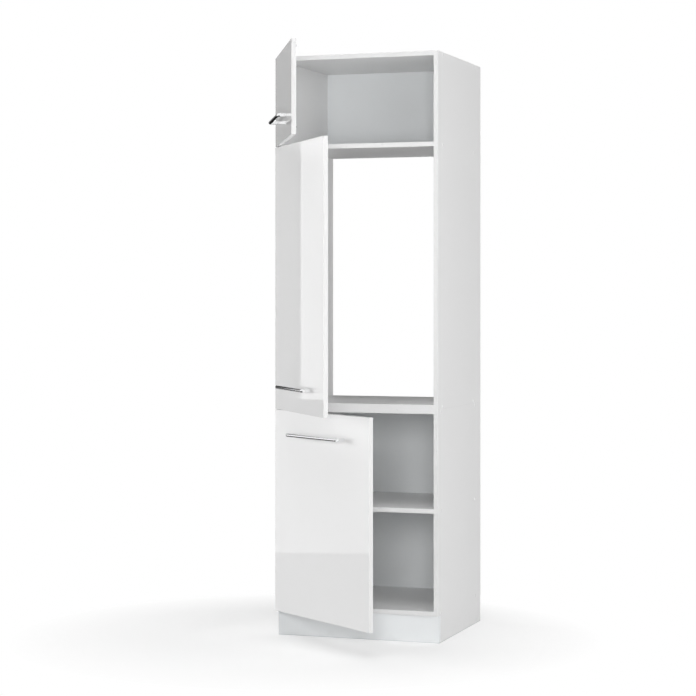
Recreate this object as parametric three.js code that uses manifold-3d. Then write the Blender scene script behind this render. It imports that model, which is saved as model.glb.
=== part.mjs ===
// Tall kitchen housing for a built-in fridge: a lower and an upper module of white board,
// three gloss doors hung at the left on cup hinges, and a bow handle on each door.
// Millimetres, +Z up. The front looks along -Y and X runs to the right.
// The origin is the centre of the plinth board's underside.

import * as THREE from "three";
import { mergeVertices } from "three/addons/utils/BufferGeometryUtils.js";
import Module from "manifold-3d";

const wasm = await Module();
wasm.setup();

// Boards and the unit's outside
const UNIT_WIDTH = 600;
const UNIT_DEPTH = 555; // carcass only, without the doors
const BOARD = 16;
const BACK_BOARD = 3;

// Lower module, floor to top
const PLINTH_HEIGHT = 96;
const PLINTH_RECESS = 14; // plinth face behind the carcass front
const LOWER_BAY_HEIGHT = 342; // clear height under the shelf
const SHELF_BAY_HEIGHT = 331; // clear height above the shelf

// Upper module, niche floor to top
const NICHE_HEIGHT = 902;
const TOP_BAY_HEIGHT = 301;
const VENT_GAP = 39; // air gap behind the top compartment
const BACK_INSET = 21; // back board in front of the boards' rear edge
const GROOVE_DEPTH = 6;
const GROOVE_PLAY = 0.2;

// Doors
const DOOR_THICKNESS = 16;
const DOOR_REVEAL = 1.5; // door edge inside the carcass side
const DOOR_JOINT = 3; // gap between one door and the next
const DOOR_DROP = 6; // bottom door below the plinth's top
const TOP_REVEAL = 7.5; // top board left uncovered above the top door
const DOOR_EDGE_RADIUS = 1;
const BOTTOM_DOOR_ANGLE = 37.3;
const FRIDGE_DOOR_ANGLE = 53.5;
const TOP_DOOR_ANGLE = 63.9;

// Bow handles
const HANDLE_SPAN = 320; // between the axes of the legs
const HANDLE_ROD = 12;
const HANDLE_REACH = 30; // rod axis in front of the door
const HANDLE_BEND = 9; // radius of the bend at the rod's axis
const HANDLE_SHIFT = 14; // handle's middle, from the door's middle towards the hinges
const HANDLE_INSET = 83; // rod axis from the nearer end of a tall door
const TOP_HANDLE_INSET = 76;

// Cup hinges
const CUP_BORE = 35;
const CUP_TAB = 3; // door edge to cup bore
const CUP_SKIN = 3.5; // door board left behind the bore
const CUP_WALL = 0.6;
const CUP_FLOOR = 0.8;
const CUP_FLANGE = 1.2;
const CUP_FLANGE_RIM = 0.7; // flange past the bore
const CUP_EAR_SPAN = 58;
const CUP_EAR_WIDTH = 18;
const FIT_GAP = 0.3;
const PIN_RADIUS = 1;
const KNUCKLE_WALL = 0.5;
const KNUCKLE_WIDTH = 8;
const PIN_ABOVE_FLOOR = 4.6;
const SWING_CLEARANCE = 0.4; // door corner to carcass as the door turns
const ARM_SHEET = 1.6;
const ARM_DROP = 2.6; // elbow below the pin, towards the cup's floor
const ARM_WIDTH = 14;
const ARM_HEIGHT = 7;
const ARM_SETBACK = 4; // arm body behind the carcass front
const ARM_LENGTH = 56;
const PLATE_SHEET = 1.9;
const PLATE_LINE = 37; // plate screws behind the carcass front
const PLATE_LENGTH = 38;
const PLATE_WING_LENGTH = 18;
const PLATE_WING_SPAN = 48;
const HINGE_INSET = 100; // hinge axis from the end of a tall door
const TOP_HINGE_INSET = 70;

// Carcass screws with cover caps
const SCREW_RADIUS = 2.5;
const SCREW_BITE = 34; // screw in the board's end
const SCREW_POINT = 2;
const CAP_RADIUS = 6.5;
const CAP_HEIGHT = 1.2;
const CAP_RIM = 0.5;
const UPPER_SCREW_FRONT = 60;
const UPPER_SCREW_REAR = 57; // from the rear edge of the upper boards
const LOWER_SCREW_FRONT = 32;
const LOWER_SCREW_REAR = 72; // from the rear edge of the lower boards

// Screws that tie the two modules together
const LINK_RADIUS = 3;
const LINK_BITE = 11; // screw in the niche floor
const LINK_HEAD_RADIUS = 6;
const LINK_HEAD_HEIGHT = 3;
const LINK_SIDE_INSET = 50; // from the inner side face
const LINK_FRONT_INSET = 60;

// Wall brackets behind the top compartment
const BRACKET_SHEET = 2;
const BRACKET_HEIGHT = 30;
const BRACKET_REACH = 38;
const BRACKET_DROP = 40; // below the top board
const BRACKET_HOLE = 6;
const BRACKET_CLEARANCE = 6; // bracket to the boards in front of it

// Facets
const SCREW_SIDES = 10;
const CUP_SIDES = 28;
const KNUCKLE_SIDES = 12;
const ROD_SIDES = 14;
const BEND_STEPS = 4;
const ARC_STEPS = 5;
const BEVEL_STEPS = 2;
const OVERRUN = 1; // how far a cutter passes the face that it cuts

// Places worked out from the sizes above
const HALF = UNIT_WIDTH / 2;
const INNER = HALF - BOARD;
const FRONT = -(PLINTH_RECESS + BOARD / 2);
const REAR = FRONT + UNIT_DEPTH;
const LOWER_REAR = REAR - BACK_BOARD;
const UPPER_REAR = REAR - VENT_GAP;
const PLINTH_FACE = FRONT + PLINTH_RECESS;
const PLINTH_BACK = PLINTH_FACE + BOARD;
const GROOVE_REAR = UPPER_REAR - BACK_INSET;
const GROOVE_FRONT = GROOVE_REAR - BACK_BOARD;
const SHELF_UNDERSIDE = PLINTH_HEIGHT + BOARD + LOWER_BAY_HEIGHT;
const LOWER_CEILING = SHELF_UNDERSIDE + BOARD + SHELF_BAY_HEIGHT;
const LOWER_TOP = LOWER_CEILING + BOARD;
const NICHE_FLOOR = LOWER_TOP + BOARD;
const NICHE_CEILING = NICHE_FLOOR + NICHE_HEIGHT;
const TOP_BAY_FLOOR = NICHE_CEILING + BOARD;
const TOP_BAY_CEILING = TOP_BAY_FLOOR + TOP_BAY_HEIGHT;
const UNIT_HEIGHT = TOP_BAY_CEILING + BOARD;

// The hinge: the pin sits inside the cup, as near the door's edge as the cup's round wall allows
const CUP_RADIUS = CUP_BORE / 2;
const CUP_OUTER = CUP_RADIUS - FIT_GAP;
const CUP_INNER = CUP_OUTER - CUP_WALL;
const CUP_DEPTH = DOOR_THICKNESS - CUP_SKIN;
const EYE_RADIUS = PIN_RADIUS + FIT_GAP;
const KNUCKLE_RADIUS = EYE_RADIUS + KNUCKLE_WALL;
const WALL_BULGE = CUP_INNER - Math.sqrt(CUP_INNER ** 2 - (KNUCKLE_WIDTH / 2) ** 2);
const PIN_INSET = CUP_TAB + FIT_GAP + CUP_WALL + WALL_BULGE + FIT_GAP + KNUCKLE_RADIUS;
const PIN_DEPTH = CUP_DEPTH - FIT_GAP - CUP_FLOOR - PIN_ABOVE_FLOOR;
const CARCASS_FROM_PIN = Math.hypot(PIN_INSET, PIN_DEPTH) + SWING_CLEARANCE;
const PIN_X = -HALF + DOOR_REVEAL + PIN_INSET;
const PIN_Y = FRONT - CARCASS_FROM_PIN;
const CUP_CENTRE = CUP_TAB + CUP_RADIUS - PIN_INSET;

const carcassWhite = new THREE.MeshStandardMaterial({ color: 0xe9e9e9, roughness: 0.5, metalness: 0 });
const frontWhite = new THREE.MeshStandardMaterial({ color: 0xf2f2f2, roughness: 0.08, metalness: 0 });
const backWhite = new THREE.MeshStandardMaterial({ color: 0xdcdcdc, roughness: 0.6, metalness: 0 });
const capWhite = new THREE.MeshStandardMaterial({ color: 0xf5f5f5, roughness: 0.4, metalness: 0 });
const chrome = new THREE.MeshStandardMaterial({ color: 0xd8d8d8, roughness: 0.12, metalness: 1 });
const hingeSteel = new THREE.MeshStandardMaterial({ color: 0xb9bbbd, roughness: 0.35, metalness: 1 });
const zincSteel = new THREE.MeshStandardMaterial({ color: 0xa8aaac, roughness: 0.45, metalness: 1 });

// Solids: three.js shapes in, manifold booleans, three.js geometry out

function toSolid(geometry) {
  const bare = geometry.clone();
  bare.deleteAttribute("normal");
  bare.deleteAttribute("uv");
  const merged = mergeVertices(bare);
  const mesh = new wasm.Mesh({
    numProp: 3,
    vertProperties: new Float32Array(merged.attributes.position.array),
    triVerts: new Uint32Array(merged.index.array),
  });
  return new wasm.Manifold(mesh);
}

function toGeometry(solid) {
  const mesh = solid.getMesh();
  const geometry = new THREE.BufferGeometry();
  geometry.setAttribute("position", new THREE.BufferAttribute(mesh.vertProperties, mesh.numProp));
  geometry.setIndex(new THREE.BufferAttribute(mesh.triVerts, 1));
  geometry.computeVertexNormals();
  return geometry;
}

function block(x0, x1, y0, y1, z0, z1) {
  const box = new THREE.BoxGeometry(x1 - x0, y1 - y0, z1 - z0);
  box.translate((x0 + x1) / 2, (y0 + y1) / 2, (z0 + z1) / 2);
  return toSolid(box);
}

// A cylinder along X, Y or Z from one end to the other
function roundBar(axis, radius, sides, start, end, centre) {
  const bar = new THREE.CylinderGeometry(radius, radius, end - start, sides);
  if (axis === "x") bar.rotateZ(-Math.PI / 2);
  if (axis === "z") bar.rotateX(Math.PI / 2);
  const middle = new THREE.Vector3(centre.x ?? 0, centre.y ?? 0, centre.z ?? 0);
  middle[axis] = (start + end) / 2;
  bar.translate(middle.x, middle.y, middle.z);
  return toSolid(bar);
}

// An outline in plan, drawn in x and y and centred on its height
function planPlate(shape, height, steps) {
  const plate = new THREE.ExtrudeGeometry(shape, { depth: height, bevelEnabled: false, curveSegments: steps });
  plate.translate(0, 0, -height / 2);
  return toSolid(plate);
}

function piece(name, solid, material) {
  const geometry = solid.isBufferGeometry ? solid : toGeometry(solid);
  const mesh = new THREE.Mesh(geometry, material);
  mesh.name = name;
  return mesh;
}

// Carcass screws: where they stand on each side, by depth and height

const upperDepths = [FRONT + UPPER_SCREW_FRONT, UPPER_REAR - UPPER_SCREW_REAR];
const lowerDepths = [FRONT + LOWER_SCREW_FRONT, LOWER_REAR - LOWER_SCREW_REAR];
const upperBoards = [NICHE_FLOOR - BOARD, NICHE_CEILING, TOP_BAY_CEILING];
const lowerBoards = [PLINTH_HEIGHT, SHELF_UNDERSIDE, LOWER_CEILING];

function screwPlaces(boards, depths) {
  return boards.flatMap((underside) => depths.map((y) => ({ y, z: underside + BOARD / 2 })));
}

const upperScrews = screwPlaces(upperBoards, upperDepths);
const lowerScrews = screwPlaces(lowerBoards, lowerDepths);

// Bores right across a board for the screws that enter its two ends
function boreForScrews(solid, places, from, to) {
  return places.reduce(
    (cut, place) => cut.subtract(roundBar("x", SCREW_RADIUS + FIT_GAP, SCREW_SIDES, from, to, place)),
    solid,
  );
}

function screwGeometry() {
  const tip = -(BOARD + SCREW_BITE);
  const outline = [
    new THREE.Vector2(0, tip),
    new THREE.Vector2(SCREW_RADIUS - SCREW_POINT / 2, tip),
    new THREE.Vector2(SCREW_RADIUS, tip + SCREW_POINT),
    new THREE.Vector2(SCREW_RADIUS, 0),
    new THREE.Vector2(CAP_RADIUS, 0),
    new THREE.Vector2(CAP_RADIUS, CAP_RIM),
    new THREE.Vector2(CAP_RADIUS - CAP_HEIGHT, CAP_HEIGHT),
    new THREE.Vector2(0, CAP_HEIGHT),
  ];
  const screw = new THREE.LatheGeometry(outline, SCREW_SIDES);
  screw.rotateZ(-Math.PI / 2);
  return toGeometry(toSolid(screw));
}

// Boards

function upperSide(direction) {
  const outer = direction * HALF;
  const inner = direction * INNER;
  const low = Math.min(outer, inner);
  const high = Math.max(outer, inner);
  const groove = block(
    Math.min(inner, inner + direction * GROOVE_DEPTH),
    Math.max(inner, inner + direction * GROOVE_DEPTH),
    GROOVE_FRONT - GROOVE_PLAY,
    GROOVE_REAR + GROOVE_PLAY,
    TOP_BAY_FLOOR - GROOVE_DEPTH,
    TOP_BAY_CEILING + GROOVE_DEPTH,
  );
  const side = block(low, high, FRONT, REAR, LOWER_TOP, UNIT_HEIGHT).subtract(groove);
  return boreForScrews(side, upperScrews, low - OVERRUN, high + OVERRUN);
}

function lowerSide(direction) {
  const low = Math.min(direction * HALF, direction * INNER);
  const high = Math.max(direction * HALF, direction * INNER);
  const notch = block(low - OVERRUN, high + OVERRUN, FRONT - OVERRUN, PLINTH_BACK, -OVERRUN, PLINTH_HEIGHT);
  const side = block(low, high, FRONT, LOWER_REAR, 0, LOWER_TOP).subtract(notch);
  return boreForScrews(side, lowerScrews, low - OVERRUN, high + OVERRUN);
}

// A level board between the sides, bored in both ends for its screws
function levelBoard(underside, rear, depths) {
  const deep = SCREW_BITE + FIT_GAP;
  const board = block(-INNER, INNER, FRONT, rear, underside, underside + BOARD);
  const places = screwPlaces([underside], depths);
  const left = boreForScrews(board, places, -INNER - OVERRUN, -INNER + deep);
  return boreForScrews(left, places, INNER - deep, INNER + OVERRUN);
}

// A groove for the back board in the top or the underside of a level board
function backGroove(from, to) {
  const reach = INNER + OVERRUN;
  return block(-reach, reach, GROOVE_FRONT - GROOVE_PLAY, GROOVE_REAR + GROOVE_PLAY, from, to);
}

const linkPlaces = [-1, 1].map((direction) => ({
  x: direction * (INNER - LINK_SIDE_INSET),
  y: FRONT + LINK_FRONT_INSET,
}));

function boreForLinks(solid, from, to) {
  return linkPlaces.reduce(
    (cut, place) => cut.subtract(roundBar("z", LINK_RADIUS + FIT_GAP, SCREW_SIDES, from, to, place)),
    solid,
  );
}

function linkScrewGeometry() {
  const length = BOARD + LINK_BITE;
  const outline = [
    new THREE.Vector2(0, -LINK_HEAD_HEIGHT),
    new THREE.Vector2(LINK_HEAD_RADIUS - LINK_HEAD_HEIGHT / 2, -LINK_HEAD_HEIGHT),
    new THREE.Vector2(LINK_HEAD_RADIUS, 0),
    new THREE.Vector2(LINK_RADIUS, 0),
    new THREE.Vector2(LINK_RADIUS, length),
    new THREE.Vector2(0, length),
  ];
  const screw = new THREE.LatheGeometry(outline, SCREW_SIDES);
  screw.rotateX(Math.PI / 2);
  return toGeometry(toSolid(screw));
}

// An angle of sheet steel on the side's inner face, with a hole towards the wall
function wallBracket(direction) {
  const side = direction * INNER;
  const tip = side - direction * BRACKET_REACH;
  const sheet = side - direction * BRACKET_SHEET;
  const high = TOP_BAY_CEILING - BRACKET_DROP;
  const low = high - BRACKET_HEIGHT;
  const along = block(
    Math.min(side, sheet), Math.max(side, sheet), UPPER_REAR + BRACKET_CLEARANCE, REAR, low, high,
  );
  const across = block(Math.min(side, tip), Math.max(side, tip), REAR - BRACKET_SHEET, REAR, low, high);
  const hole = roundBar("y", BRACKET_HOLE / 2, SCREW_SIDES, REAR - BRACKET_SHEET - OVERRUN, REAR + OVERRUN, {
    x: (side + tip) / 2,
    z: (low + high) / 2,
  });
  return along.add(across).subtract(hole);
}

// Hinges, drawn round the pin with the door closed

function hingeArm() {
  const sideFace = -HALF + BOARD - PIN_X;
  const neck = sideFace + PLATE_SHEET;
  const bodyFront = CARCASS_FROM_PIN + ARM_SETBACK;
  const strip = new THREE.Shape();
  strip.moveTo(0, ARM_SHEET / 2);
  strip.lineTo(0, -ARM_SHEET / 2);
  strip.lineTo(neck + ARM_SHEET, -ARM_DROP - ARM_SHEET / 2);
  strip.lineTo(neck + ARM_SHEET, bodyFront + ARM_SHEET);
  strip.lineTo(neck, bodyFront + ARM_SHEET);
  strip.lineTo(neck, -ARM_DROP + ARM_SHEET / 2);
  strip.closePath();
  const plateMiddle = CARCASS_FROM_PIN + PLATE_LINE;
  const half = ARM_WIDTH / 2;
  const wing = PLATE_WING_LENGTH / 2;
  const body = block(neck, neck + ARM_HEIGHT, bodyFront, bodyFront + ARM_LENGTH, -half, half);
  const foot = block(
    sideFace, neck, plateMiddle - PLATE_LENGTH / 2, plateMiddle + PLATE_LENGTH / 2, -half, half,
  );
  const wings = block(
    sideFace, neck, plateMiddle - wing, plateMiddle + wing, -PLATE_WING_SPAN / 2, PLATE_WING_SPAN / 2,
  );
  const knuckle = roundBar("z", KNUCKLE_RADIUS, KNUCKLE_SIDES, -KNUCKLE_WIDTH / 2, KNUCKLE_WIDTH / 2, {});
  const eye = roundBar("z", EYE_RADIUS, KNUCKLE_SIDES, -KNUCKLE_WIDTH, KNUCKLE_WIDTH, {});
  const swanNeck = planPlate(strip, KNUCKLE_WIDTH, 1);
  return toGeometry(swanNeck.add(knuckle).subtract(eye).add(body).add(foot).add(wings));
}

function hingeCup() {
  const underside = PIN_DEPTH - CUP_DEPTH + FIT_GAP;
  const floor = underside + CUP_FLOOR;
  const seat = PIN_DEPTH + FIT_GAP;
  const top = seat + CUP_FLANGE;
  const outline = [
    new THREE.Vector2(0, underside),
    new THREE.Vector2(CUP_OUTER, underside),
    new THREE.Vector2(CUP_OUTER, top),
    new THREE.Vector2(CUP_INNER, top),
    new THREE.Vector2(CUP_INNER, floor),
    new THREE.Vector2(0, floor),
  ];
  const bowl = new THREE.LatheGeometry(outline, CUP_SIDES);
  bowl.translate(CUP_CENTRE, 0, 0);
  const centre = { x: CUP_CENTRE };
  const disc = roundBar("y", CUP_RADIUS + CUP_FLANGE_RIM, CUP_SIDES, seat, top, centre);
  const round = CUP_EAR_WIDTH / 2;
  const straight = CUP_EAR_SPAN / 2 - round;
  const ears = new THREE.Shape();
  ears.absarc(0, straight, round, 0, Math.PI);
  ears.absarc(0, -straight, round, Math.PI, 2 * Math.PI);
  ears.closePath();
  const earPlate = new THREE.ExtrudeGeometry(ears, {
    depth: CUP_FLANGE, bevelEnabled: false, curveSegments: ARC_STEPS,
  });
  earPlate.rotateX(-Math.PI / 2);
  earPlate.translate(CUP_CENTRE, seat, 0);
  const mouth = roundBar("y", CUP_INNER, CUP_SIDES, floor, top + OVERRUN, centre);
  const flange = disc.add(toSolid(earPlate)).subtract(mouth);
  const inBowl = roundBar("y", CUP_OUTER, CUP_SIDES, underside, top, centre);
  const pin = roundBar("z", PIN_RADIUS, KNUCKLE_SIDES, -CUP_OUTER, CUP_OUTER, {}).intersect(inBowl);
  return toGeometry(toSolid(bowl).add(flange).add(pin));
}

// Door slab with softened edges, drawn round the pin axis with the door closed
function doorSlab(door) {
  const width = UNIT_WIDTH - 2 * DOOR_REVEAL;
  const low = -PIN_INSET;
  const outline = new THREE.Shape();
  outline.moveTo(low, door.low);
  outline.lineTo(low + width, door.low);
  outline.lineTo(low + width, door.high);
  outline.lineTo(low, door.high);
  outline.closePath();
  const slab = new THREE.ExtrudeGeometry(outline, {
    depth: DOOR_THICKNESS - 2 * DOOR_EDGE_RADIUS,
    bevelThickness: DOOR_EDGE_RADIUS,
    bevelSize: DOOR_EDGE_RADIUS,
    bevelOffset: -DOOR_EDGE_RADIUS,
    bevelSegments: BEVEL_STEPS,
  });
  slab.rotateX(Math.PI / 2);
  slab.translate(0, PIN_DEPTH - DOOR_EDGE_RADIUS, 0);
  return door.hinges.reduce(
    (cut, z) => cut.subtract(
      roundBar("y", CUP_RADIUS, CUP_SIDES, PIN_DEPTH - CUP_DEPTH, PIN_DEPTH + OVERRUN, { x: CUP_CENTRE, z }),
    ),
    toSolid(slab),
  );
}

// A round rod bent in plan through the given stations, with flat ends
function bentRod(stations, radius, sides) {
  const positions = [];
  const triangles = [];
  for (const { at, along } of stations) {
    const across = new THREE.Vector3(-along.y, along.x, 0);
    for (let side = 0; side < sides; side += 1) {
      const turn = (2 * Math.PI * side) / sides;
      const rim = at.clone().addScaledVector(across, radius * Math.cos(turn));
      rim.z += radius * Math.sin(turn);
      positions.push(rim.x, rim.y, rim.z);
    }
  }
  for (let ring = 0; ring + 1 < stations.length; ring += 1) {
    for (let side = 0; side < sides; side += 1) {
      const next = (side + 1) % sides;
      const a = ring * sides + side;
      const b = ring * sides + next;
      triangles.push(a, b, a + sides, b, b + sides, a + sides);
    }
  }
  const last = (stations.length - 1) * sides;
  for (let side = 1; side + 1 < sides; side += 1) {
    triangles.push(0, side + 1, side);
    triangles.push(last, last + side, last + side + 1);
  }
  const rod = new THREE.BufferGeometry();
  rod.setAttribute("position", new THREE.Float32BufferAttribute(positions, 3));
  rod.setIndex(triangles);
  rod.computeVertexNormals();
  return rod;
}

// The bow handle: two legs on the door and the rod between them, at height zero
function handleGeometry() {
  const half = HANDLE_SPAN / 2;
  const corner = half - HANDLE_BEND;
  const foot = -FIT_GAP;
  const stations = [{ at: new THREE.Vector3(-half, foot, 0), along: new THREE.Vector3(0, -1, 0) }];
  for (const direction of [-1, 1]) {
    for (let step = 0; step <= BEND_STEPS; step += 1) {
      const share = step / BEND_STEPS;
      const turn = (Math.PI / 2) * (direction < 0 ? share : 1 - share);
      const out = HANDLE_BEND - HANDLE_REACH - HANDLE_BEND * Math.sin(turn);
      const side = direction * (corner + HANDLE_BEND * Math.cos(turn));
      stations.push({
        at: new THREE.Vector3(side, out, 0),
        along: new THREE.Vector3(Math.sin(turn), direction * Math.cos(turn), 0),
      });
    }
  }
  stations.push({ at: new THREE.Vector3(half, foot, 0), along: new THREE.Vector3(0, 1, 0) });
  return bentRod(stations, HANDLE_ROD / 2, ROD_SIDES);
}

// The three doors, lowest first
const lowerSplit = LOWER_TOP - BOARD / 2;
const upperSplit = TOP_BAY_FLOOR - BOARD / 2;
const doors = [
  {
    name: "bottom",
    low: PLINTH_HEIGHT - DOOR_DROP,
    high: lowerSplit - DOOR_JOINT / 2,
    angle: BOTTOM_DOOR_ANGLE,
    hingeInset: HINGE_INSET,
    handleBelowTop: HANDLE_INSET,
  },
  {
    name: "fridge",
    low: lowerSplit + DOOR_JOINT / 2,
    high: upperSplit - DOOR_JOINT / 2,
    angle: FRIDGE_DOOR_ANGLE,
    hingeInset: HINGE_INSET,
    handleAboveBottom: HANDLE_INSET,
  },
  {
    name: "top",
    low: upperSplit + DOOR_JOINT / 2,
    high: UNIT_HEIGHT - TOP_REVEAL,
    angle: TOP_DOOR_ANGLE,
    hingeInset: TOP_HINGE_INSET,
    handleAboveBottom: TOP_HANDLE_INSET,
  },
];

function addDoor(unit, door) {
  door.hinges = [door.low + door.hingeInset, door.high - door.hingeInset];
  const hung = new THREE.Group();
  hung.position.set(PIN_X, PIN_Y, 0);
  hung.rotation.z = -THREE.MathUtils.degToRad(door.angle);
  hung.add(piece(`${door.name}_door`, doorSlab(door), frontWhite));

  const handle = piece(`handle_${door.name}`, handleShape, chrome);
  const middle = UNIT_WIDTH / 2 - DOOR_REVEAL - PIN_INSET;
  const height = door.handleBelowTop ? door.high - door.handleBelowTop : door.low + door.handleAboveBottom;
  handle.position.set(middle - HANDLE_SHIFT, PIN_DEPTH - DOOR_THICKNESS, height);
  hung.add(handle);

  for (const [index, place] of ["lower", "upper"].entries()) {
    const cup = piece(`hinge_cup_${door.name}_${place}`, cupShape, hingeSteel);
    cup.position.z = door.hinges[index];
    hung.add(cup);
    const arm = piece(`hinge_arm_${door.name}_${place}`, armShape, hingeSteel);
    arm.position.set(PIN_X, PIN_Y, door.hinges[index]);
    unit.add(arm);
  }
  unit.add(hung);
}

function addLowerModule(unit) {
  const plinth = block(-HALF, HALF, PLINTH_FACE, PLINTH_BACK, 0, PLINTH_HEIGHT);
  const top = boreForLinks(
    levelBoard(LOWER_CEILING, LOWER_REAR, lowerDepths), LOWER_CEILING - OVERRUN, LOWER_TOP + OVERRUN,
  );
  unit.add(piece("plinth_board", plinth, carcassWhite));
  unit.add(piece("lower_side_left", lowerSide(-1), carcassWhite));
  unit.add(piece("lower_side_right", lowerSide(1), carcassWhite));
  unit.add(piece("lower_bottom", levelBoard(PLINTH_HEIGHT, LOWER_REAR, lowerDepths), carcassWhite));
  unit.add(piece("lower_shelf", levelBoard(SHELF_UNDERSIDE, LOWER_REAR, lowerDepths), carcassWhite));
  unit.add(piece("lower_top", top, carcassWhite));
  unit.add(piece("lower_back", block(-HALF, HALF, LOWER_REAR, REAR, PLINTH_HEIGHT, LOWER_TOP), backWhite));
}

function addUpperModule(unit) {
  const floor = boreForLinks(
    levelBoard(LOWER_TOP, REAR, upperDepths), LOWER_TOP - OVERRUN, LOWER_TOP + LINK_BITE + FIT_GAP,
  );
  const ceiling = levelBoard(NICHE_CEILING, UPPER_REAR, upperDepths).subtract(
    backGroove(TOP_BAY_FLOOR - GROOVE_DEPTH, TOP_BAY_FLOOR + OVERRUN),
  );
  const top = levelBoard(TOP_BAY_CEILING, UPPER_REAR, upperDepths).subtract(
    backGroove(TOP_BAY_CEILING - OVERRUN, TOP_BAY_CEILING + GROOVE_DEPTH),
  );
  const inGroove = INNER + GROOVE_DEPTH - GROOVE_PLAY;
  const back = block(
    -inGroove, inGroove, GROOVE_FRONT, GROOVE_REAR,
    TOP_BAY_FLOOR - GROOVE_DEPTH, TOP_BAY_CEILING + GROOVE_DEPTH - GROOVE_PLAY,
  );
  unit.add(piece("upper_side_left", upperSide(-1), carcassWhite));
  unit.add(piece("upper_side_right", upperSide(1), carcassWhite));
  unit.add(piece("niche_floor", floor, carcassWhite));
  unit.add(piece("niche_ceiling", ceiling, carcassWhite));
  unit.add(piece("upper_top", top, carcassWhite));
  unit.add(piece("upper_back", back, backWhite));
}

function addFasteners(unit) {
  const screwShape = screwGeometry();
  for (const [label, direction] of [["left", -1], ["right", 1]]) {
    for (const [index, place] of [...lowerScrews, ...upperScrews].entries()) {
      const screw = piece(`side_screw_${label}_${index + 1}`, screwShape, capWhite);
      screw.position.set(direction * HALF, place.y, place.z);
      screw.rotation.z = direction < 0 ? Math.PI : 0;
      unit.add(screw);
    }
    unit.add(piece(`wall_bracket_${label}`, wallBracket(direction), zincSteel));
  }
  const linkShape = linkScrewGeometry();
  for (const [index, label] of ["left", "right"].entries()) {
    const link = piece(`module_screw_${label}`, linkShape, zincSteel);
    link.position.set(linkPlaces[index].x, linkPlaces[index].y, LOWER_CEILING);
    unit.add(link);
  }
}

const armShape = hingeArm();
const cupShape = hingeCup();
const handleShape = handleGeometry();

const unit = new THREE.Group();
addLowerModule(unit);
addUpperModule(unit);
addFasteners(unit);
doors.forEach((door) => addDoor(unit, door));

export default unit;
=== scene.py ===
"""Tall white kitchen housing for a built-in fridge, dressed for a studio picture.

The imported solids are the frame. The doors and all boards but the lower back keep their solids
and get finishes here. The lower back, the handles, hinges, screws, caps and brackets are made
again with their real roundings, and the small parts that the solids leave out are added. Lengths
are in metres.
"""

import logging
import math
from collections.abc import Callable, Sequence
from dataclasses import dataclass, field
from enum import Enum

import bmesh
import bpy
from mathutils import Matrix, Vector


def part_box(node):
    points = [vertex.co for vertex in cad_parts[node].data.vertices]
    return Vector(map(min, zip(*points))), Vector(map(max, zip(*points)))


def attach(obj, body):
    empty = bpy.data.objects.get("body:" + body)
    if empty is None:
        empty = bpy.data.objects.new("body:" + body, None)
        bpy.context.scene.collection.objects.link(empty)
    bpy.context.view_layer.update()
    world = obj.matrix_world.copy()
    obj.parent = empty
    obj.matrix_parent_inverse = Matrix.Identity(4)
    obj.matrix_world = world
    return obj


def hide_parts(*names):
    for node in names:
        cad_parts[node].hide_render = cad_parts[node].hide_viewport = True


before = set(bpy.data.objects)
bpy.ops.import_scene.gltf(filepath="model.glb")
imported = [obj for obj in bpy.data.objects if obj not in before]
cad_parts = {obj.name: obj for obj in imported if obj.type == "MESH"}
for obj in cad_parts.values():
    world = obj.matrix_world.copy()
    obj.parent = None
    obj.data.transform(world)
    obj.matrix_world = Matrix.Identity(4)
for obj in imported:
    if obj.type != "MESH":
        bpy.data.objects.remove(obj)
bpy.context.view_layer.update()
PICTURE_SIDE = 696

log = logging.getLogger("fridge_housing")

Ring = list[Vector]
Pair = tuple[float, float]
Outline = list[Pair]
Socket = bpy.types.NodeSocket
Colour = tuple[float, float, float]
Point = tuple[float, float, float]

UP = Vector((0, 0, 1))
INTO_ROOM = Vector((0, -1, 0))
TO_WALL = Vector((0, 1, 0))
BOTH_WAYS = (-1, 1)
RISING = (0.0, 1.0)
FALLING = (1.0, 0.0)
NOISE_SPAN = (0.3, 0.7)
TINY = 0.00001
NEARLY_UPRIGHT = 0.9
HALF_WIDTH = 0.300
BOARD = 0.016
INNER = HALF_WIDTH - BOARD
FRONT = -0.022
PLINTH_TOP = 0.096
MODULE_SPLIT = 0.817
UNIT_TOP = 2.068


class Body(Enum):
    """The bodies that pieces ride on."""

    CARCASS = "carcass"
    BOTTOM_LEAF = "bottom_leaf"
    FRIDGE_LEAF = "fridge_leaf"
    TOP_LEAF = "top_leaf"


class Slot(Enum):
    """The names of the record's finishes; no piece made here is given one."""

    CARCASS_WHITE = "carcass_white"
    BACK_WHITE = "back_white"
    HANDLE_CHROME = "handle_chrome"
    HINGE_STEEL = "hinge_steel"
    CAP_WHITE = "cap_white"
    ZINC_STEEL = "zinc_steel"


class Side(Enum):
    """Left or right, as a sign along X."""

    LEFT = -1
    RIGHT = 1

    @property
    def label(self) -> str:
        """The word for this side in the names of pieces."""
        return self.name.lower()


# Outlines and rings


def circle(radius: float, count: int) -> Outline:
    """A circle round the middle.

    Args:
        radius: The circle's radius.
        count: How many points stand on it.

    Returns:
        The points, anticlockwise.
    """
    turns = [2 * math.pi * index / count for index in range(count)]
    return [(radius * math.cos(turn), radius * math.sin(turn)) for turn in turns]


def rounded_rectangle(width: float, height: float, corner: float, steps: int = 4) -> Outline:
    """A rectangle with round corners, round the middle.

    Args:
        width: Its size along the first direction.
        height: Its size along the second direction.
        corner: The radius of its corners.
        steps: How many parts each corner has.

    Returns:
        The points, anticlockwise.
    """
    corner = max(min(corner, width / 2 - TINY, height / 2 - TINY), TINY)
    centres = [(1, 1), (-1, 1), (-1, -1), (1, -1)]
    points: Outline = []
    for quarter, (side, end) in enumerate(centres):
        across = side * (width / 2 - corner)
        along = end * (height / 2 - corner)
        for step in range(steps + 1):
            turn = math.pi / 2 * (quarter + step / steps)
            points.append((across + corner * math.cos(turn), along + corner * math.sin(turn)))
    return points


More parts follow.
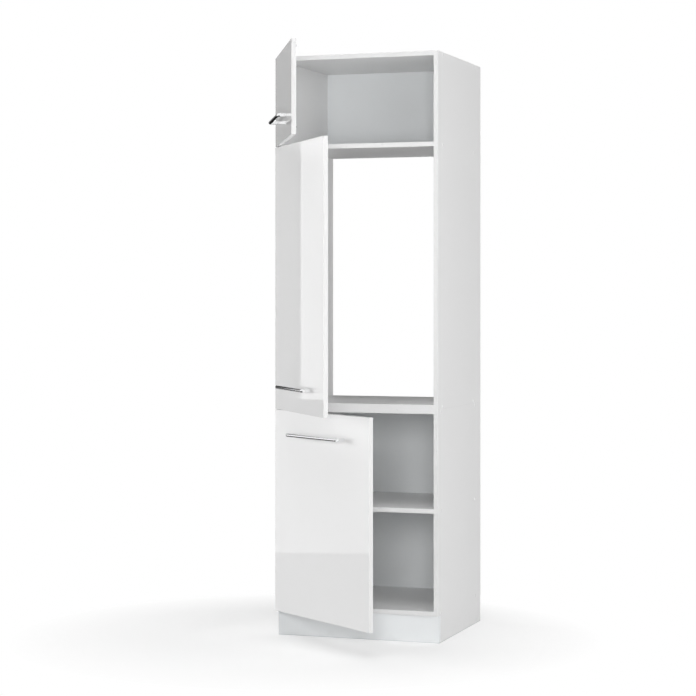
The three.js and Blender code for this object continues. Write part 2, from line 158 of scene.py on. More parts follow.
def polar(reach: Callable[[float, float], float], count: int) -> Outline:
    """A star-shaped outline, sampled all round.

    Args:
        reach: The distance from the middle in a direction given by its cosine and sine.
        count: How many points to take.

    Returns:
        The points, anticlockwise.
    """
    unit = circle(1.0, count)
    return [(reach(x, y) * x, reach(x, y) * y) for x, y in unit]


def cross_reach(arm: float, half_width: float) -> Callable[[float, float], float]:
    """How far a cross reaches in each direction.

    Args:
        arm: The length of an arm from the middle.
        half_width: Half the width of an arm.

    Returns:
        A function for polar().
    """

    def reach(x: float, y: float) -> float:
        """How far the cross reaches.

        Args:
            x: The direction's cosine.
            y: The direction's sine.

        Returns:
            The distance from the middle.
        """
        across = max(abs(x), TINY)
        along = max(abs(y), TINY)
        level = min(arm / across, half_width / along)
        upright = min(half_width / across, arm / along)
        return max(level, upright)

    return reach


def eared_reach(disc: float, half_span: float, round_end: float) -> Callable[[float, float], float]:
    """How far a disc with two round ears reaches in each direction.

    Args:
        disc: The disc's radius.
        half_span: The ear's end from the middle, along the second direction.
        round_end: The radius of an ear's end, which is half its width.

    Returns:
        A function for polar().
    """
    centre = half_span - round_end

    def reach(x: float, y: float) -> float:
        """How far the eared disc reaches.

        Args:
            x: The direction's cosine.
            y: The direction's sine.

        Returns:
            The distance from the middle.
        """
        along = abs(y)
        inside = round_end**2 - (centre * x) ** 2
        ear = centre * along + math.sqrt(inside) if inside > 0 else 0.0
        if ear * along < centre:
            ear = round_end / max(abs(x), TINY)
        return max(disc, ear)

    return reach


def lift(outline: Outline, height: float) -> Ring:
    """Stand an outline at a height above its plane."""
    return [Vector((x, y, height)) for x, y in outline]


def grow(outline: Outline, amount: float) -> Outline:
    """Move an outline's points away from the middle by one distance.

    Args:
        outline: The outline.
        amount: How far each point moves; less than zero moves it inwards.

    Returns:
        The moved points.
    """
    grown: Outline = []
    for x, y in outline:
        distance = math.hypot(x, y)
        grown.append((x * (distance + amount) / distance, y * (distance + amount) / distance))
    return grown


def plate_rings(width: float, height: float, thickness: float, corner: float, edge: float) -> list[Ring]:
    """The rings of a plate with round corners and round edges on both faces.

    Args:
        width: Its size along the first direction.
        height: Its size along the second direction.
        thickness: Its size along the third direction, from zero.
        corner: The radius of its corners in plan.
        edge: The radius of its edges.

    Returns:
        The rings from one face to the other.
    """
    steps = 3
    turns = [math.pi / 2 * step / steps for step in range(steps + 1)]
    lower = [(edge * (1 - math.sin(turn)), edge * (1 - math.cos(turn))) for turn in turns]
    upper = [(inset, thickness - rise) for inset, rise in reversed(lower)]
    return [
        lift(rounded_rectangle(width - 2 * inset, height - 2 * inset, corner - inset), rise)
        for inset, rise in lower + upper
    ]


def lathe_rings(profile: Sequence[Pair], count: int) -> list[Ring]:
    """The rings of a turned shape about the third direction.

    Args:
        profile: Its radius and height at each step.
        count: How many points each ring has.

    Returns:
        One ring for each step.
    """
    return [lift(circle(max(radius, TINY), count), height) for radius, height in profile]


def axes(first: Vector, second: Vector, third: Vector, origin: Vector) -> Matrix:
    """A placing matrix from three directions and a point."""
    turned = Matrix((first, second, third)).transposed().to_4x4()
    return Matrix.Translation(origin) @ turned


def facing(direction: Vector, origin: Vector) -> Matrix:
    """A placing matrix whose third direction is given; its second stays as upright as it can.

    Args:
        direction: The third direction.
        origin: The point that it stands on.

    Returns:
        The matrix.
    """
    third = direction.normalized()
    helper = TO_WALL if abs(third.z) > NEARLY_UPRIGHT else UP
    first = helper.cross(third).normalized()
    return axes(first, third.cross(first), third, origin)


def swept_ring(section: Outline, point: Vector, heading: Vector) -> Ring:
    """A section of a bent rod or strip that stays level.

    Args:
        section: The section's outline.
        point: Where the bent line is.
        heading: Where it goes from there.

    Returns:
        The ring, square to the line.
    """
    across = UP.cross(heading).normalized()
    return [point + across * x + UP * y for x, y in section]


class Draft:
    """A mesh under way, made of closed shells that are skinned over rings."""

    HEAD_POINTS = 32
    HEAD_DOME = ((1.0, 0.0), (1.0, 0.3), (0.93, 0.66), (0.8, 0.88), (0.66, 1.0))
    RECESS_ARM = 0.56
    RECESS_HALF_WIDTH = 0.13
    RECESS_DEPTH = 0.75
    RECESS_TAPER = (0.55, 0.6)

    def __init__(self) -> None:
        """Start empty."""
        self.mesh = bmesh.new()

    def skin(self, rings: Sequence[Ring], place: Matrix = Matrix.Identity(4), looped: bool = False) -> None:
        """Join rings that have the same count with quads.

        Args:
            rings: The rings in order.
            place: Where the shell stands.
            looped: Whether the last ring meets the first, as in a frame, and no end is closed.
        """
        rows = [[self.mesh.verts.new(place @ point) for point in ring] for ring in rings]
        pairs = list(zip(rows, rows[1:]))
        if looped:
            pairs.append((rows[-1], rows[0]))
        count = len(rows[0])
        for low, high in pairs:
            for index in range(count):
                after = (index + 1) % count
                self.mesh.faces.new((low[index], low[after], high[after], high[index]))
        if not looped:
            self.mesh.faces.new(list(reversed(rows[0])))
            self.mesh.faces.new(rows[-1])

    def plate(self, size: tuple[float, float, float], place: Matrix, corner: float, edge: float) -> None:
        """Add a plate that stands on its place's origin, centred in plan.

        Args:
            size: Its width, height and thickness.
            place: Where it stands, with the thickness along the third direction.
            corner: The radius of its corners.
            edge: The radius of its edges.
        """
        self.skin(plate_rings(*size, corner, edge), place)

    def screw_head(self, place: Matrix, radius: float, height: float) -> None:
        """Add a domed screw head with a cross recess.

        Args:
            place: Where its seat is, with the driver's side along the third direction.
            radius: The head's radius.
            height: The head's height.
        """
        count = self.HEAD_POINTS
        arm = self.RECESS_ARM * radius
        slot = self.RECESS_HALF_WIDTH * radius
        depth = self.RECESS_DEPTH * height
        arm_taper, slot_taper = self.RECESS_TAPER
        recess = polar(cross_reach(arm, slot), count)
        floor = polar(cross_reach(arm * arm_taper, slot * slot_taper), count)
        rings = [lift(circle(radius * share, count), height * rise) for share, rise in self.HEAD_DOME]
        rings.append(lift(recess, height))
        rings.append(lift(floor, height - depth))
        self.skin(rings, place)

    def faces(self) -> int:
        """How many faces there are so far."""
        return len(self.mesh.faces)

    def hand_over(self, name: str, crease: float = 35.0) -> bpy.types.Object:
        """Turn the draft into an object, smooth except where faces meet sharply.

        Args:
            name: The object's name.
            crease: The angle in degrees above which an edge stays sharp.

        Returns:
            The object, linked to the scene.
        """
        bmesh.ops.recalc_face_normals(self.mesh, faces=self.mesh.faces)
        limit = math.radians(crease)
        for face in self.mesh.faces:
            face.smooth = True
        for seam_and_edge_line in self.mesh.edges:
            seam_and_edge_line.smooth = seam_and_edge_line.is_manifold and seam_and_edge_line.calc_face_angle(0.0) < limit
        data = bpy.data.meshes.new(name)
        self.mesh.to_mesh(data)
        self.mesh.free()
        made = bpy.data.objects.new(name, data)
        bpy.context.scene.collection.objects.link(made)
        evened = made.modifiers.new("evened_normals", "WEIGHTED_NORMAL")
        evened.keep_sharp = True
        return made


def deliver(
    draft: Draft,
    name: str,
    body: Body,
    material: bpy.types.Material,
    stands_for: Sequence[str] = (),
) -> bpy.types.Object:
    """Make a piece from a draft, give it its finish and fix it to its body.

    Args:
        draft: The finished draft.
        name: The piece's name.
        body: The body that it rides on.
        material: Its material.
        stands_for: The solids that it takes the place of.

    Returns:
        The piece.
    """
    count = draft.faces()
    made = draft.hand_over(name)
    made.data.materials.append(material)
    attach(made, body.value)
    if stands_for:
        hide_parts(*stands_for)
    log.info("%s: %d faces on %s", name, count, body.value)
    return made


def dress(name: str, material: bpy.types.Material) -> None:
    """Give a solid its finish.

    Args:
        name: The solid's name.
        material: The finish.
    """
    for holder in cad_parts[name].material_slots:
        holder.material = material
    log.info("%s: dressed", name)


# Finishes


class Shader:
    """A material's nodes, with a short call for each kind that the finishes use."""

    def __init__(self, name: str) -> None:
        """Start a material with one shader and its output.

        Args:
            name: The material's name.
        """
        self.material = bpy.data.materials.new(name)
        self.material.use_nodes = True
        self.tree = self.material.node_tree
        self.tree.nodes.clear()
        self.output = self.node("ShaderNodeOutputMaterial")
        self.surface = self.node("ShaderNodeBsdfPrincipled")
        self.link(self.surface.outputs["BSDF"], self.output.inputs["Surface"])

    def node(self, kind: str) -> bpy.types.Node:
        """Add a node of a kind."""
        return self.tree.nodes.new(kind)

    def link(self, source: Socket, target: Socket) -> None:
        """Join two sockets."""
        self.tree.links.new(source, target)

    def feed(self, target: Socket, value: "Socket | float | Vector") -> None:
        """Link a socket or write a plain value on it.

        Args:
            target: The socket that takes the value.
            value: The value, or the socket that gives it.
        """
        if isinstance(value, Socket):
            self.link(value, target)
        else:
            target.default_value = value

    def place(self) -> Socket:
        """The point on the piece, in the piece's own space."""
        return self.node("ShaderNodeTexCoord").outputs["Object"]

    def turned_place(self, origin: Vector, angle: float) -> Socket:
        """The point on the piece, measured from a hinge and turned with its door.

        Args:
            origin: The hinge's place.
            angle: How far the door is turned about +Z, in radians.

        Returns:
            The socket of the turned point.
        """
        mapping = self.node("ShaderNodeMapping")
        mapping.vector_type = "TEXTURE"
        mapping.inputs["Location"].default_value = origin
        mapping.inputs["Rotation"].default_value = (0.0, 0.0, angle)
        self.link(self.place(), mapping.inputs["Vector"])
        return mapping.outputs["Vector"]

    def stretched(self, point: Socket, scale: tuple[float, float, float]) -> Socket:
        """The point with each direction scaled, for a drawn-out texture."""
        return self.vector("MULTIPLY", point, Vector(scale))

    def vector(self, operation: str, first: "Socket | Vector", second: "Socket | Vector") -> Socket:
        """A sum on two vectors.

        Args:
            operation: The kind of sum.
            first: The first vector.
            second: The second vector.

        Returns:
            The socket of the result.
        """
        sums = self.node("ShaderNodeVectorMath")
        sums.operation = operation
        self.feed(sums.inputs[0], first)
        self.feed(sums.inputs[1], second)
        return sums.outputs["Vector"]

    def parts(self, vector: Socket) -> list[Socket]:
        """A vector's three parts.

        Args:
            vector: The vector's socket.

        Returns:
            The sockets of its x, y and z.
        """
        split = self.node("ShaderNodeSeparateXYZ")
        self.link(vector, split.inputs["Vector"])
        return list(split.outputs)

    def sum(self, operation: str, first: "Socket | float", second: "Socket | float" = 0.0) -> Socket:
        """A sum on two numbers.

        Args:
            operation: The kind of sum.
            first: The first number.
            second: The second number.

        Returns:
            The socket of the result.
        """
        sums = self.node("ShaderNodeMath")
        sums.operation = operation
        self.feed(sums.inputs[0], first)
        self.feed(sums.inputs[1], second)
        return sums.outputs["Value"]

    def noise(self, point: Socket, scale: float, detail: float) -> Socket:
        """A soft random pattern from 0 to 1.

        Args:
            point: Where on the piece.
            scale: How many blobs there are to a metre.
            detail: How many finer layers are added.

        Returns:
            The socket of the pattern.
        """
        texture = self.node("ShaderNodeTexNoise")
        texture.inputs["Scale"].default_value = scale
        texture.inputs["Detail"].default_value = detail
        self.link(point, texture.inputs["Vector"])
        return texture.outputs["Fac"]

    def cells(self, point: Socket, scale: float) -> bpy.types.Node:
        """A pattern of cells, as in pressed chips or zinc.

        Args:
            point: Where on the piece.
            scale: How many cells there are to a metre.

        Returns:
            The pattern's node.
        """
        texture = self.node("ShaderNodeTexVoronoi")
        texture.inputs["Scale"].default_value = scale
        self.link(point, texture.inputs["Vector"])
        return texture

    def spread(self, value: Socket, source: Pair, target: Pair) -> Socket:
        """Map one range of numbers onto another and hold it at its ends.

        Args:
            value: The number's socket.
            source: The range that it comes from.
            target: The range that it goes to.

        Returns:
            The socket of the result.
        """
        mapped = self.node("ShaderNodeMapRange")
        mapped.clamp = True
        self.link(value, mapped.inputs["Value"])
        for name, number in zip(("From Min", "From Max", "To Min", "To Max"), source + target):
            mapped.inputs[name].default_value = number
        return mapped.outputs["Result"]

    def blend(self, share: Socket, first: "Socket | Colour", second: "Socket | Colour") -> Socket:
        """Mix two colours by a share.

        Args:
            share: The share of the second colour.
            first: The first colour.
            second: The second colour.

        Returns:
            The socket of the mixed colour.
        """
        mixed = self.node("ShaderNodeMix")
        mixed.data_type = "RGBA"
        self.link(share, mixed.inputs[0])
        for socket, colour in ((mixed.inputs[6], first), (mixed.inputs[7], second)):
            self.feed(socket, colour if isinstance(colour, Socket) else (*colour, 1.0))
        return mixed.outputs[2]

    def mottle(self, pattern: Socket, colour: Colour, shades: Pair) -> Socket:
        """A colour that a pattern takes from a darker to a lighter shade."""
        return self.blend(pattern, shade(colour, shades[0]), shade(colour, shades[1]))

    def between(self, share: Socket, first: "Socket | float", second: "Socket | float") -> Socket:
        """Mix two numbers by a share.

        Args:
            share: The share of the second number.
            first: The first number.
            second: The second number.

        Returns:
            The socket of the mixed number.
        """
        mixed = self.node("ShaderNodeMix")
        mixed.data_type = "FLOAT"
        self.link(share, mixed.inputs[0])
        self.feed(mixed.inputs[2], first)
        self.feed(mixed.inputs[3], second)
        return mixed.outputs[0]

    def bump(self, height: Socket, strength: float, depth: float) -> None:
        """Raise the surface by a pattern.

        Args:
            height: The pattern.
            strength: How much of it shows.
            depth: The height that the pattern stands for.
        """
        relief = self.node("ShaderNodeBump")
        relief.inputs["Strength"].default_value = strength
        relief.inputs["Distance"].default_value = depth
        self.link(height, relief.inputs["Height"])
        self.link(relief.outputs["Normal"], self.surface.inputs["Normal"])

    def set(self, **values: "Socket | float | Colour") -> None:
        """Write or link the shader's own sockets.

        Args:
            **values: A value or a socket for each name, where an underscore stands for a space.
        """
        for name, value in values.items():
            socket = self.surface.inputs[name.replace("_", " ")]
            if isinstance(value, tuple) and socket.type == "RGBA":
                value = (*value, 1.0)
            self.feed(socket, value)

    def near_edge(self, point: Socket, low: Vector, high: Vector, reach: float) -> Socket:
        """How near a point on a board is to one of the board's edges.

        Args:
            point: Where on the board.
            low: The board's lowest corner.
            high: The board's highest corner.
            reach: The distance at which the effect ends.

        Returns:
            A share that is 1 on an edge and 0 from the reach on.
        """
        from_low = self.vector("SUBTRACT", point, low)
        from_high = self.vector("SUBTRACT", high, point)
        x, y, z = self.parts(self.vector("MINIMUM", from_low, from_high))
        smaller = self.sum("MINIMUM", x, y)
        larger = self.sum("MAXIMUM", x, y)
        middle = self.sum("MAXIMUM", smaller, self.sum("MINIMUM", larger, z))
        return self.spread(middle, (0.0, reach), FALLING)


def shade(colour: Colour, share: float) -> Colour:
    """A colour made lighter or darker by a share."""
    return (colour[0] * share, colour[1] * share, colour[2] * share)


@dataclass(frozen=True)
class Melamine:
    """White melamine-faced chipboard with banded edges, a raw edge towards the wall and a painted shade line
    along its foot.
    """

    colour: Colour = (0.84, 0.84, 0.84)
    chip_light: Colour = (0.52, 0.40, 0.26)
    chip_dark: Colour = (0.23, 0.15, 0.085)
    roughness: Pair = (0.32, 0.41)
    raw_roughness: float = 0.86
    cloud_scale: float = 3.0
    cloud_shades: Pair = (0.985, 1.012)
    pearl_scale: float = 1500.0
    pearl_share: float = 0.25
    joint_reach: float = 0.0006
    joint_and_foot_shade: float = 0.86
    # The heights over which the painted shade line at the boards' foot fades out.
    foot_shade_rise: Pair = (0.002, 0.004)
    scuff_scale: float = 26.0
    scuff_shade: float = 0.84
    scuff_span: Pair = (0.48, 0.75)
    scuff_share: Pair = (0.0, 0.35)
    scuff_height: float = 0.14
    chip_scale: float = 260.0
    chip_stretch: float = 2.2
    raw_skin: float = 0.00005
    relief: float = 0.22
    relief_depth: float = 0.00012

    def material(self, name: str, low: Vector, high: Vector) -> bpy.types.Material:
        """The finish for one board.

        Args:
            name: The material's name.
            low: The board's lowest corner.
            high: The board's highest corner.

        Returns:
            The material.
        """
        shader = Shader(name)
        point = shader.place()
        cloud = shader.noise(point, self.cloud_scale, detail=3.0)
        grain = shader.noise(point, self.pearl_scale, detail=1.0)
        # Painted shade: a thin dark line in the lowest few millimetres, where the boards meet the floor,
        # added to the dark joints at the board edges.
        foot_shade = shader.spread(shader.parts(point)[2], self.foot_shade_rise, FALLING)
        edge = shader.sum("MAXIMUM", shader.near_edge(point, low, high, self.joint_reach), foot_shade)
        white = shader.mottle(cloud, self.colour, self.cloud_shades)
        joints_and_foot_shaded = shader.blend(edge, white, shade(self.colour, self.joint_and_foot_shade))
        marks = shader.noise(point, self.scuff_scale, detail=6.0)
        scuff = shader.sum("MULTIPLY", marks, self.foot_share(shader, point))
        wear = shader.spread(scuff, self.scuff_span, self.scuff_share)
        worn = shader.blend(wear, joints_and_foot_shaded, shade(self.colour, self.scuff_shade))
        raw = self.raw_share(shader, point, high)
        chips = shader.cells(shader.stretched(point, (1.0, 1.0, self.chip_stretch)), self.chip_scale)
        tan = shader.blend(chips.outputs["Color"], self.chip_dark, self.chip_light)
        satin = shader.spread(cloud, NOISE_SPAN, self.roughness)
        shader.set(
            Base_Color=shader.blend(raw, worn, tan),
            Roughness=shader.between(raw, satin, self.raw_roughness),
        )
        pearl = shader.sum("MULTIPLY", grain, self.pearl_share)
        pitted = shader.between(raw, pearl, chips.outputs["Distance"])
        shader.bump(pitted, self.relief, self.relief_depth)
        return shader.material

    def foot_share(self, shader: Shader, point: Socket) -> Socket:
        """How much a place takes of the scuffs that feet and mops leave near the floor."""
        return shader.spread(shader.parts(point)[2], (0.0, self.scuff_height), FALLING)

    def raw_share(self, shader: Shader, point: Socket, high: Vector) -> Socket:
        """1 on the edge that faces the wall, and 0 elsewhere."""
        behind = shader.sum("SUBTRACT", shader.parts(point)[1], high.y - self.raw_skin)
        return shader.sum("GREATER_THAN", behind, 0.0)


@dataclass(frozen=True)
class Fibreboard:
    """Thin back board: painted white in front, with the press screen's marks behind."""

    colour: Colour = (0.868, 0.889, 0.899)
    rear_colour: Colour = (0.70, 0.69, 0.67)
    roughness: Pair = (0.44, 0.56)
    rear_roughness: float = 0.82
    skin: float = 0.0008
    cloud_scale: float = 4.0
    cloud_shades: Pair = (0.985, 1.01)
    fibre_scale: float = 420.0
    fibre_stretch: float = 0.35
    fibre_shades: Pair = (0.86, 1.08)
    fibre_share: float = 0.5
    screen_scale: float = 520.0
    relief: float = 0.25
    relief_depth: float = 0.0001

    def material(self, name: str, low: Vector, high: Vector) -> bpy.types.Material:
        """The finish for one back board.

        Args:
            name: The material's name.
            low: The board's lowest corner.
            high: The board's highest corner.

        Returns:
            The material.
        """
        shader = Shader(name)
        point = shader.place()
        x, y, z = shader.parts(point)
        rear = shader.spread(y, (low.y + self.skin, high.y - self.skin), RISING)
        drawn = shader.stretched(point, (1.0, 1.0, self.fibre_stretch))
        fibre = shader.noise(drawn, self.fibre_scale, detail=5.0)
        cloud = shader.noise(point, self.cloud_scale, detail=3.0)
        front = shader.mottle(cloud, self.colour, self.cloud_shades)
        back = shader.mottle(fibre, self.rear_colour, self.fibre_shades)
        turns = self.screen_scale * 2 * math.pi
        across, along = (shader.sum("SINE", shader.sum("MULTIPLY", part, turns)) for part in (x, z))
        screen = shader.sum("MULTIPLY", shader.sum("MULTIPLY", across, along), rear)
        painted = shader.spread(cloud, NOISE_SPAN, self.roughness)
        shader.set(
            Base_Color=shader.blend(rear, front, back),
            Roughness=shader.between(rear, painted, self.rear_roughness),
        )
        pressed = shader.sum("ADD", screen, shader.sum("MULTIPLY", fibre, self.fibre_share))
        shader.bump(pressed, self.relief, self.relief_depth)
        return shader.material


@dataclass(frozen=True)
class GlossFront:
    """High-gloss white front, with satin melamine on the back, a glossy banded edge with dark seams, and a
    painted dark line round the front face's rim.
    """

    colour: Colour = (0.88, 0.88, 0.88)
    band_shade: float = 0.88
    seam_and_edge_shade: float = 0.86
    seam_and_edge_span: Pair = (0.35, 0.6)
    # How much of the dark edge line falls on the front face, where it is painted shade in place of a rounded
    # edge's dark reflection.
    painted_edge_shade_on_face: float = 0.25
    gloss: Pair = (0.012, 0.032)
    satin: float = 0.38
    band_roughness: float = 0.16
    ior: float = 1.52
    skin: float = 0.0009
    band_reach: float = 0.0011
    cloud_scale: float = 2.5
    cloud_shades: Pair = (0.99, 1.01)
    smear_span: Pair = (0.25, 0.7)
    smear_scale: float = 38.0
    smear_stretch: float = 0.4
    touch_reach: Pair = (0.02, 0.15)
    touch_width: float = 0.45
    peel_scale: float = 75.0
    peel_share: float = 0.035
    pearl_scale: float = 1500.0
    pearl_share: float = 0.2
    relief: float = 0.12
    relief_depth: float = 0.0004

    def material(self, name: str, door: "DoorLeaf") -> bpy.types.Material:
        """The finish for one door.

        Args:
            name: The material's name.
            door: The door, whose place turns the pattern.

        Returns:
            The material.
        """
        shader = Shader(name)
        point = shader.turned_place(door.pin, -door.angle)
        x, depth, z = shader.parts(point)
        back = shader.sum("GREATER_THAN", depth, door.back - self.skin)
        skin = shader.sum("LESS_THAN", depth, door.face + self.skin)
        low = Vector((door.hinge_edge, door.face, door.low))
        high = Vector((door.hinge_edge + door.width, door.back, door.high))
        edge = shader.near_edge(point, low, high, self.band_reach)
        line = shader.spread(edge, self.seam_and_edge_span, RISING)
        cloud = shader.noise(point, self.cloud_scale, detail=3.0)
        white = shader.mottle(cloud, self.colour, self.cloud_shades)
        faces = shader.sum("MAXIMUM", skin, back)
        trimmed = shader.blend(faces, shade(self.colour, self.band_shade), white)
        # Dark seam lines on the band, and a weaker painted edge shade on the front face that stands for the
        # dark reflection of a rounded edge.
        seam_and_edge_line = shader.sum("MULTIPLY", line, shader.between(skin, 1.0, self.painted_edge_shade_on_face))
        wiped = shader.stretched(point, (1.0, 1.0, self.smear_stretch))
        smear = shader.noise(wiped, self.smear_scale, detail=5.0)
        marks = shader.sum("MULTIPLY", smear, self.touch_share(shader, x, z, door))
        gloss = shader.spread(marks, self.smear_span, self.gloss)
        banded = shader.between(skin, self.band_roughness, gloss)
        shader.set(
            Base_Color=shader.blend(seam_and_edge_line, trimmed, shade(self.colour, self.seam_and_edge_shade)),
            Roughness=shader.between(back, banded, self.satin),
            IOR=self.ior,
        )
        pearl = shader.sum("MULTIPLY", shader.noise(point, self.pearl_scale, detail=1.0), self.pearl_share)
        peel = shader.sum("MULTIPLY", shader.noise(point, self.peel_scale, detail=1.0), self.peel_share)
        shader.bump(shader.between(back, peel, pearl), self.relief, self.relief_depth)
        return shader.material

    def touch_share(self, shader: Shader, x: Socket, z: Socket, door: "DoorLeaf") -> Socket:
        """How much a place is touched by hands, which is most round the handle's bar.

        Args:
            shader: The door's shader.
            x: How far the place is along the door.
            z: How high it is.
            door: The door.

        Returns:
            A share that is 1 on the bar and 0 a hand's width away.
        """
        across = shader.sum("ABSOLUTE", shader.sum("SUBTRACT", x, door.handle_middle))
        along = shader.sum("ABSOLUTE", shader.sum("SUBTRACT", z, door.handle_height))
        near = shader.sum("ADD", shader.sum("MULTIPLY", across, self.touch_width), along)
        return shader.spread(near, self.touch_reach, FALLING)


@dataclass(frozen=True)
class EdgeBand:
    """Thin plastic banding on the boards' front edges."""

    colour: Colour = (0.785, 0.785, 0.785)
    roughness: Pair = (0.27, 0.33)
    streak_scale: float = 45.0
    streak_shades: Pair = (0.995, 1.005)
    pearl_scale: float = 1100.0
    relief: float = 0.05
    relief_depth: float = 0.0001

    def material(self, name: str) -> bpy.types.Material:
        """The finish for a set of bands.

        Args:
            name: The material's name.

        Returns:
            The material.
        """
        shader = Shader(name)
        point = shader.place()
        streak = shader.noise(point, self.streak_scale, detail=4.0)
        shader.set(
            Base_Color=shader.mottle(streak, self.colour, self.streak_shades),
            Roughness=shader.spread(streak, NOISE_SPAN, self.roughness),
        )
        shader.bump(shader.noise(point, self.pearl_scale, detail=1.0), self.relief, self.relief_depth)
        return shader.material


@dataclass(frozen=True)
class PlatedMetal:
    """A plated metal: chrome, nickel or zinc, told apart by colour, gloss and grain."""

    colour: Colour
    roughness: Pair
    grain_scale: float
    grain: float
    spangle: float = 0.0
    haze_scale: float = 22.0
    haze_span: Pair = (0.3, 0.72)
    haze_shade: float = 0.02
    spangle_scale: float = 240.0
    relief_depth: float = 0.00005

    def material(self, name: str) -> bpy.types.Material:
        """The finish for a metal piece.

        Args:
            name: The material's name.

        Returns:
            The material.
        """
        shader = Shader(name)
        point = shader.place()
        haze = shader.noise(point, self.haze_scale, detail=4.0)
        grain = shader.noise(point, self.grain_scale, detail=3.0)
        tone = shader.cells(point, self.spangle_scale).outputs["Color"] if self.spangle else haze
        darkest = 1 - self.spangle - self.haze_shade
        shader.set(
            Base_Color=shader.mottle(tone, self.colour, (darkest, 1.0)),
            Metallic=1.0,
            Roughness=shader.spread(haze, self.haze_span, self.roughness),
        )
        shader.bump(grain, self.grain, self.relief_depth)
        return shader.material


CHROME = PlatedMetal((0.90, 0.905, 0.91), roughness=(0.02, 0.055), grain_scale=900.0, grain=0.02)
NICKEL = PlatedMetal((0.66, 0.65, 0.63), roughness=(0.2, 0.34), grain_scale=1600.0, grain=0.12)
ZINC = PlatedMetal(
    (0.62, 0.63, 0.65), roughness=(0.34, 0.5), grain_scale=1300.0, grain=0.15, spangle=0.14
)


@dataclass(frozen=True)
class MouldedPlastic:
    """Moulded plastic for the cover caps and the door buffers."""

    colour: Colour
    roughness: Pair
    clear: float = 0.0
    ior: float = 1.46
    flow_scale: float = 160.0
    flow_shade: float = 0.97
    pearl_scale: float = 2400.0
    relief: float = 0.06
    relief_depth: float = 0.0001

    def material(self, name: str) -> bpy.types.Material:
        """The finish for a plastic piece.

        Args:
            name: The material's name.

        Returns:
            The material.
        """
        shader = Shader(name)
        point = shader.place()
        flow = shader.noise(point, self.flow_scale, detail=3.0)
        shader.set(
            Base_Color=shader.mottle(flow, self.colour, (self.flow_shade, 1.0)),
            Roughness=shader.spread(flow, NOISE_SPAN, self.roughness),
            Transmission_Weight=self.clear,
            IOR=self.ior,
        )
        shader.bump(shader.noise(point, self.pearl_scale, detail=1.0), self.relief, self.relief_depth)
        return shader.material


# The carcass


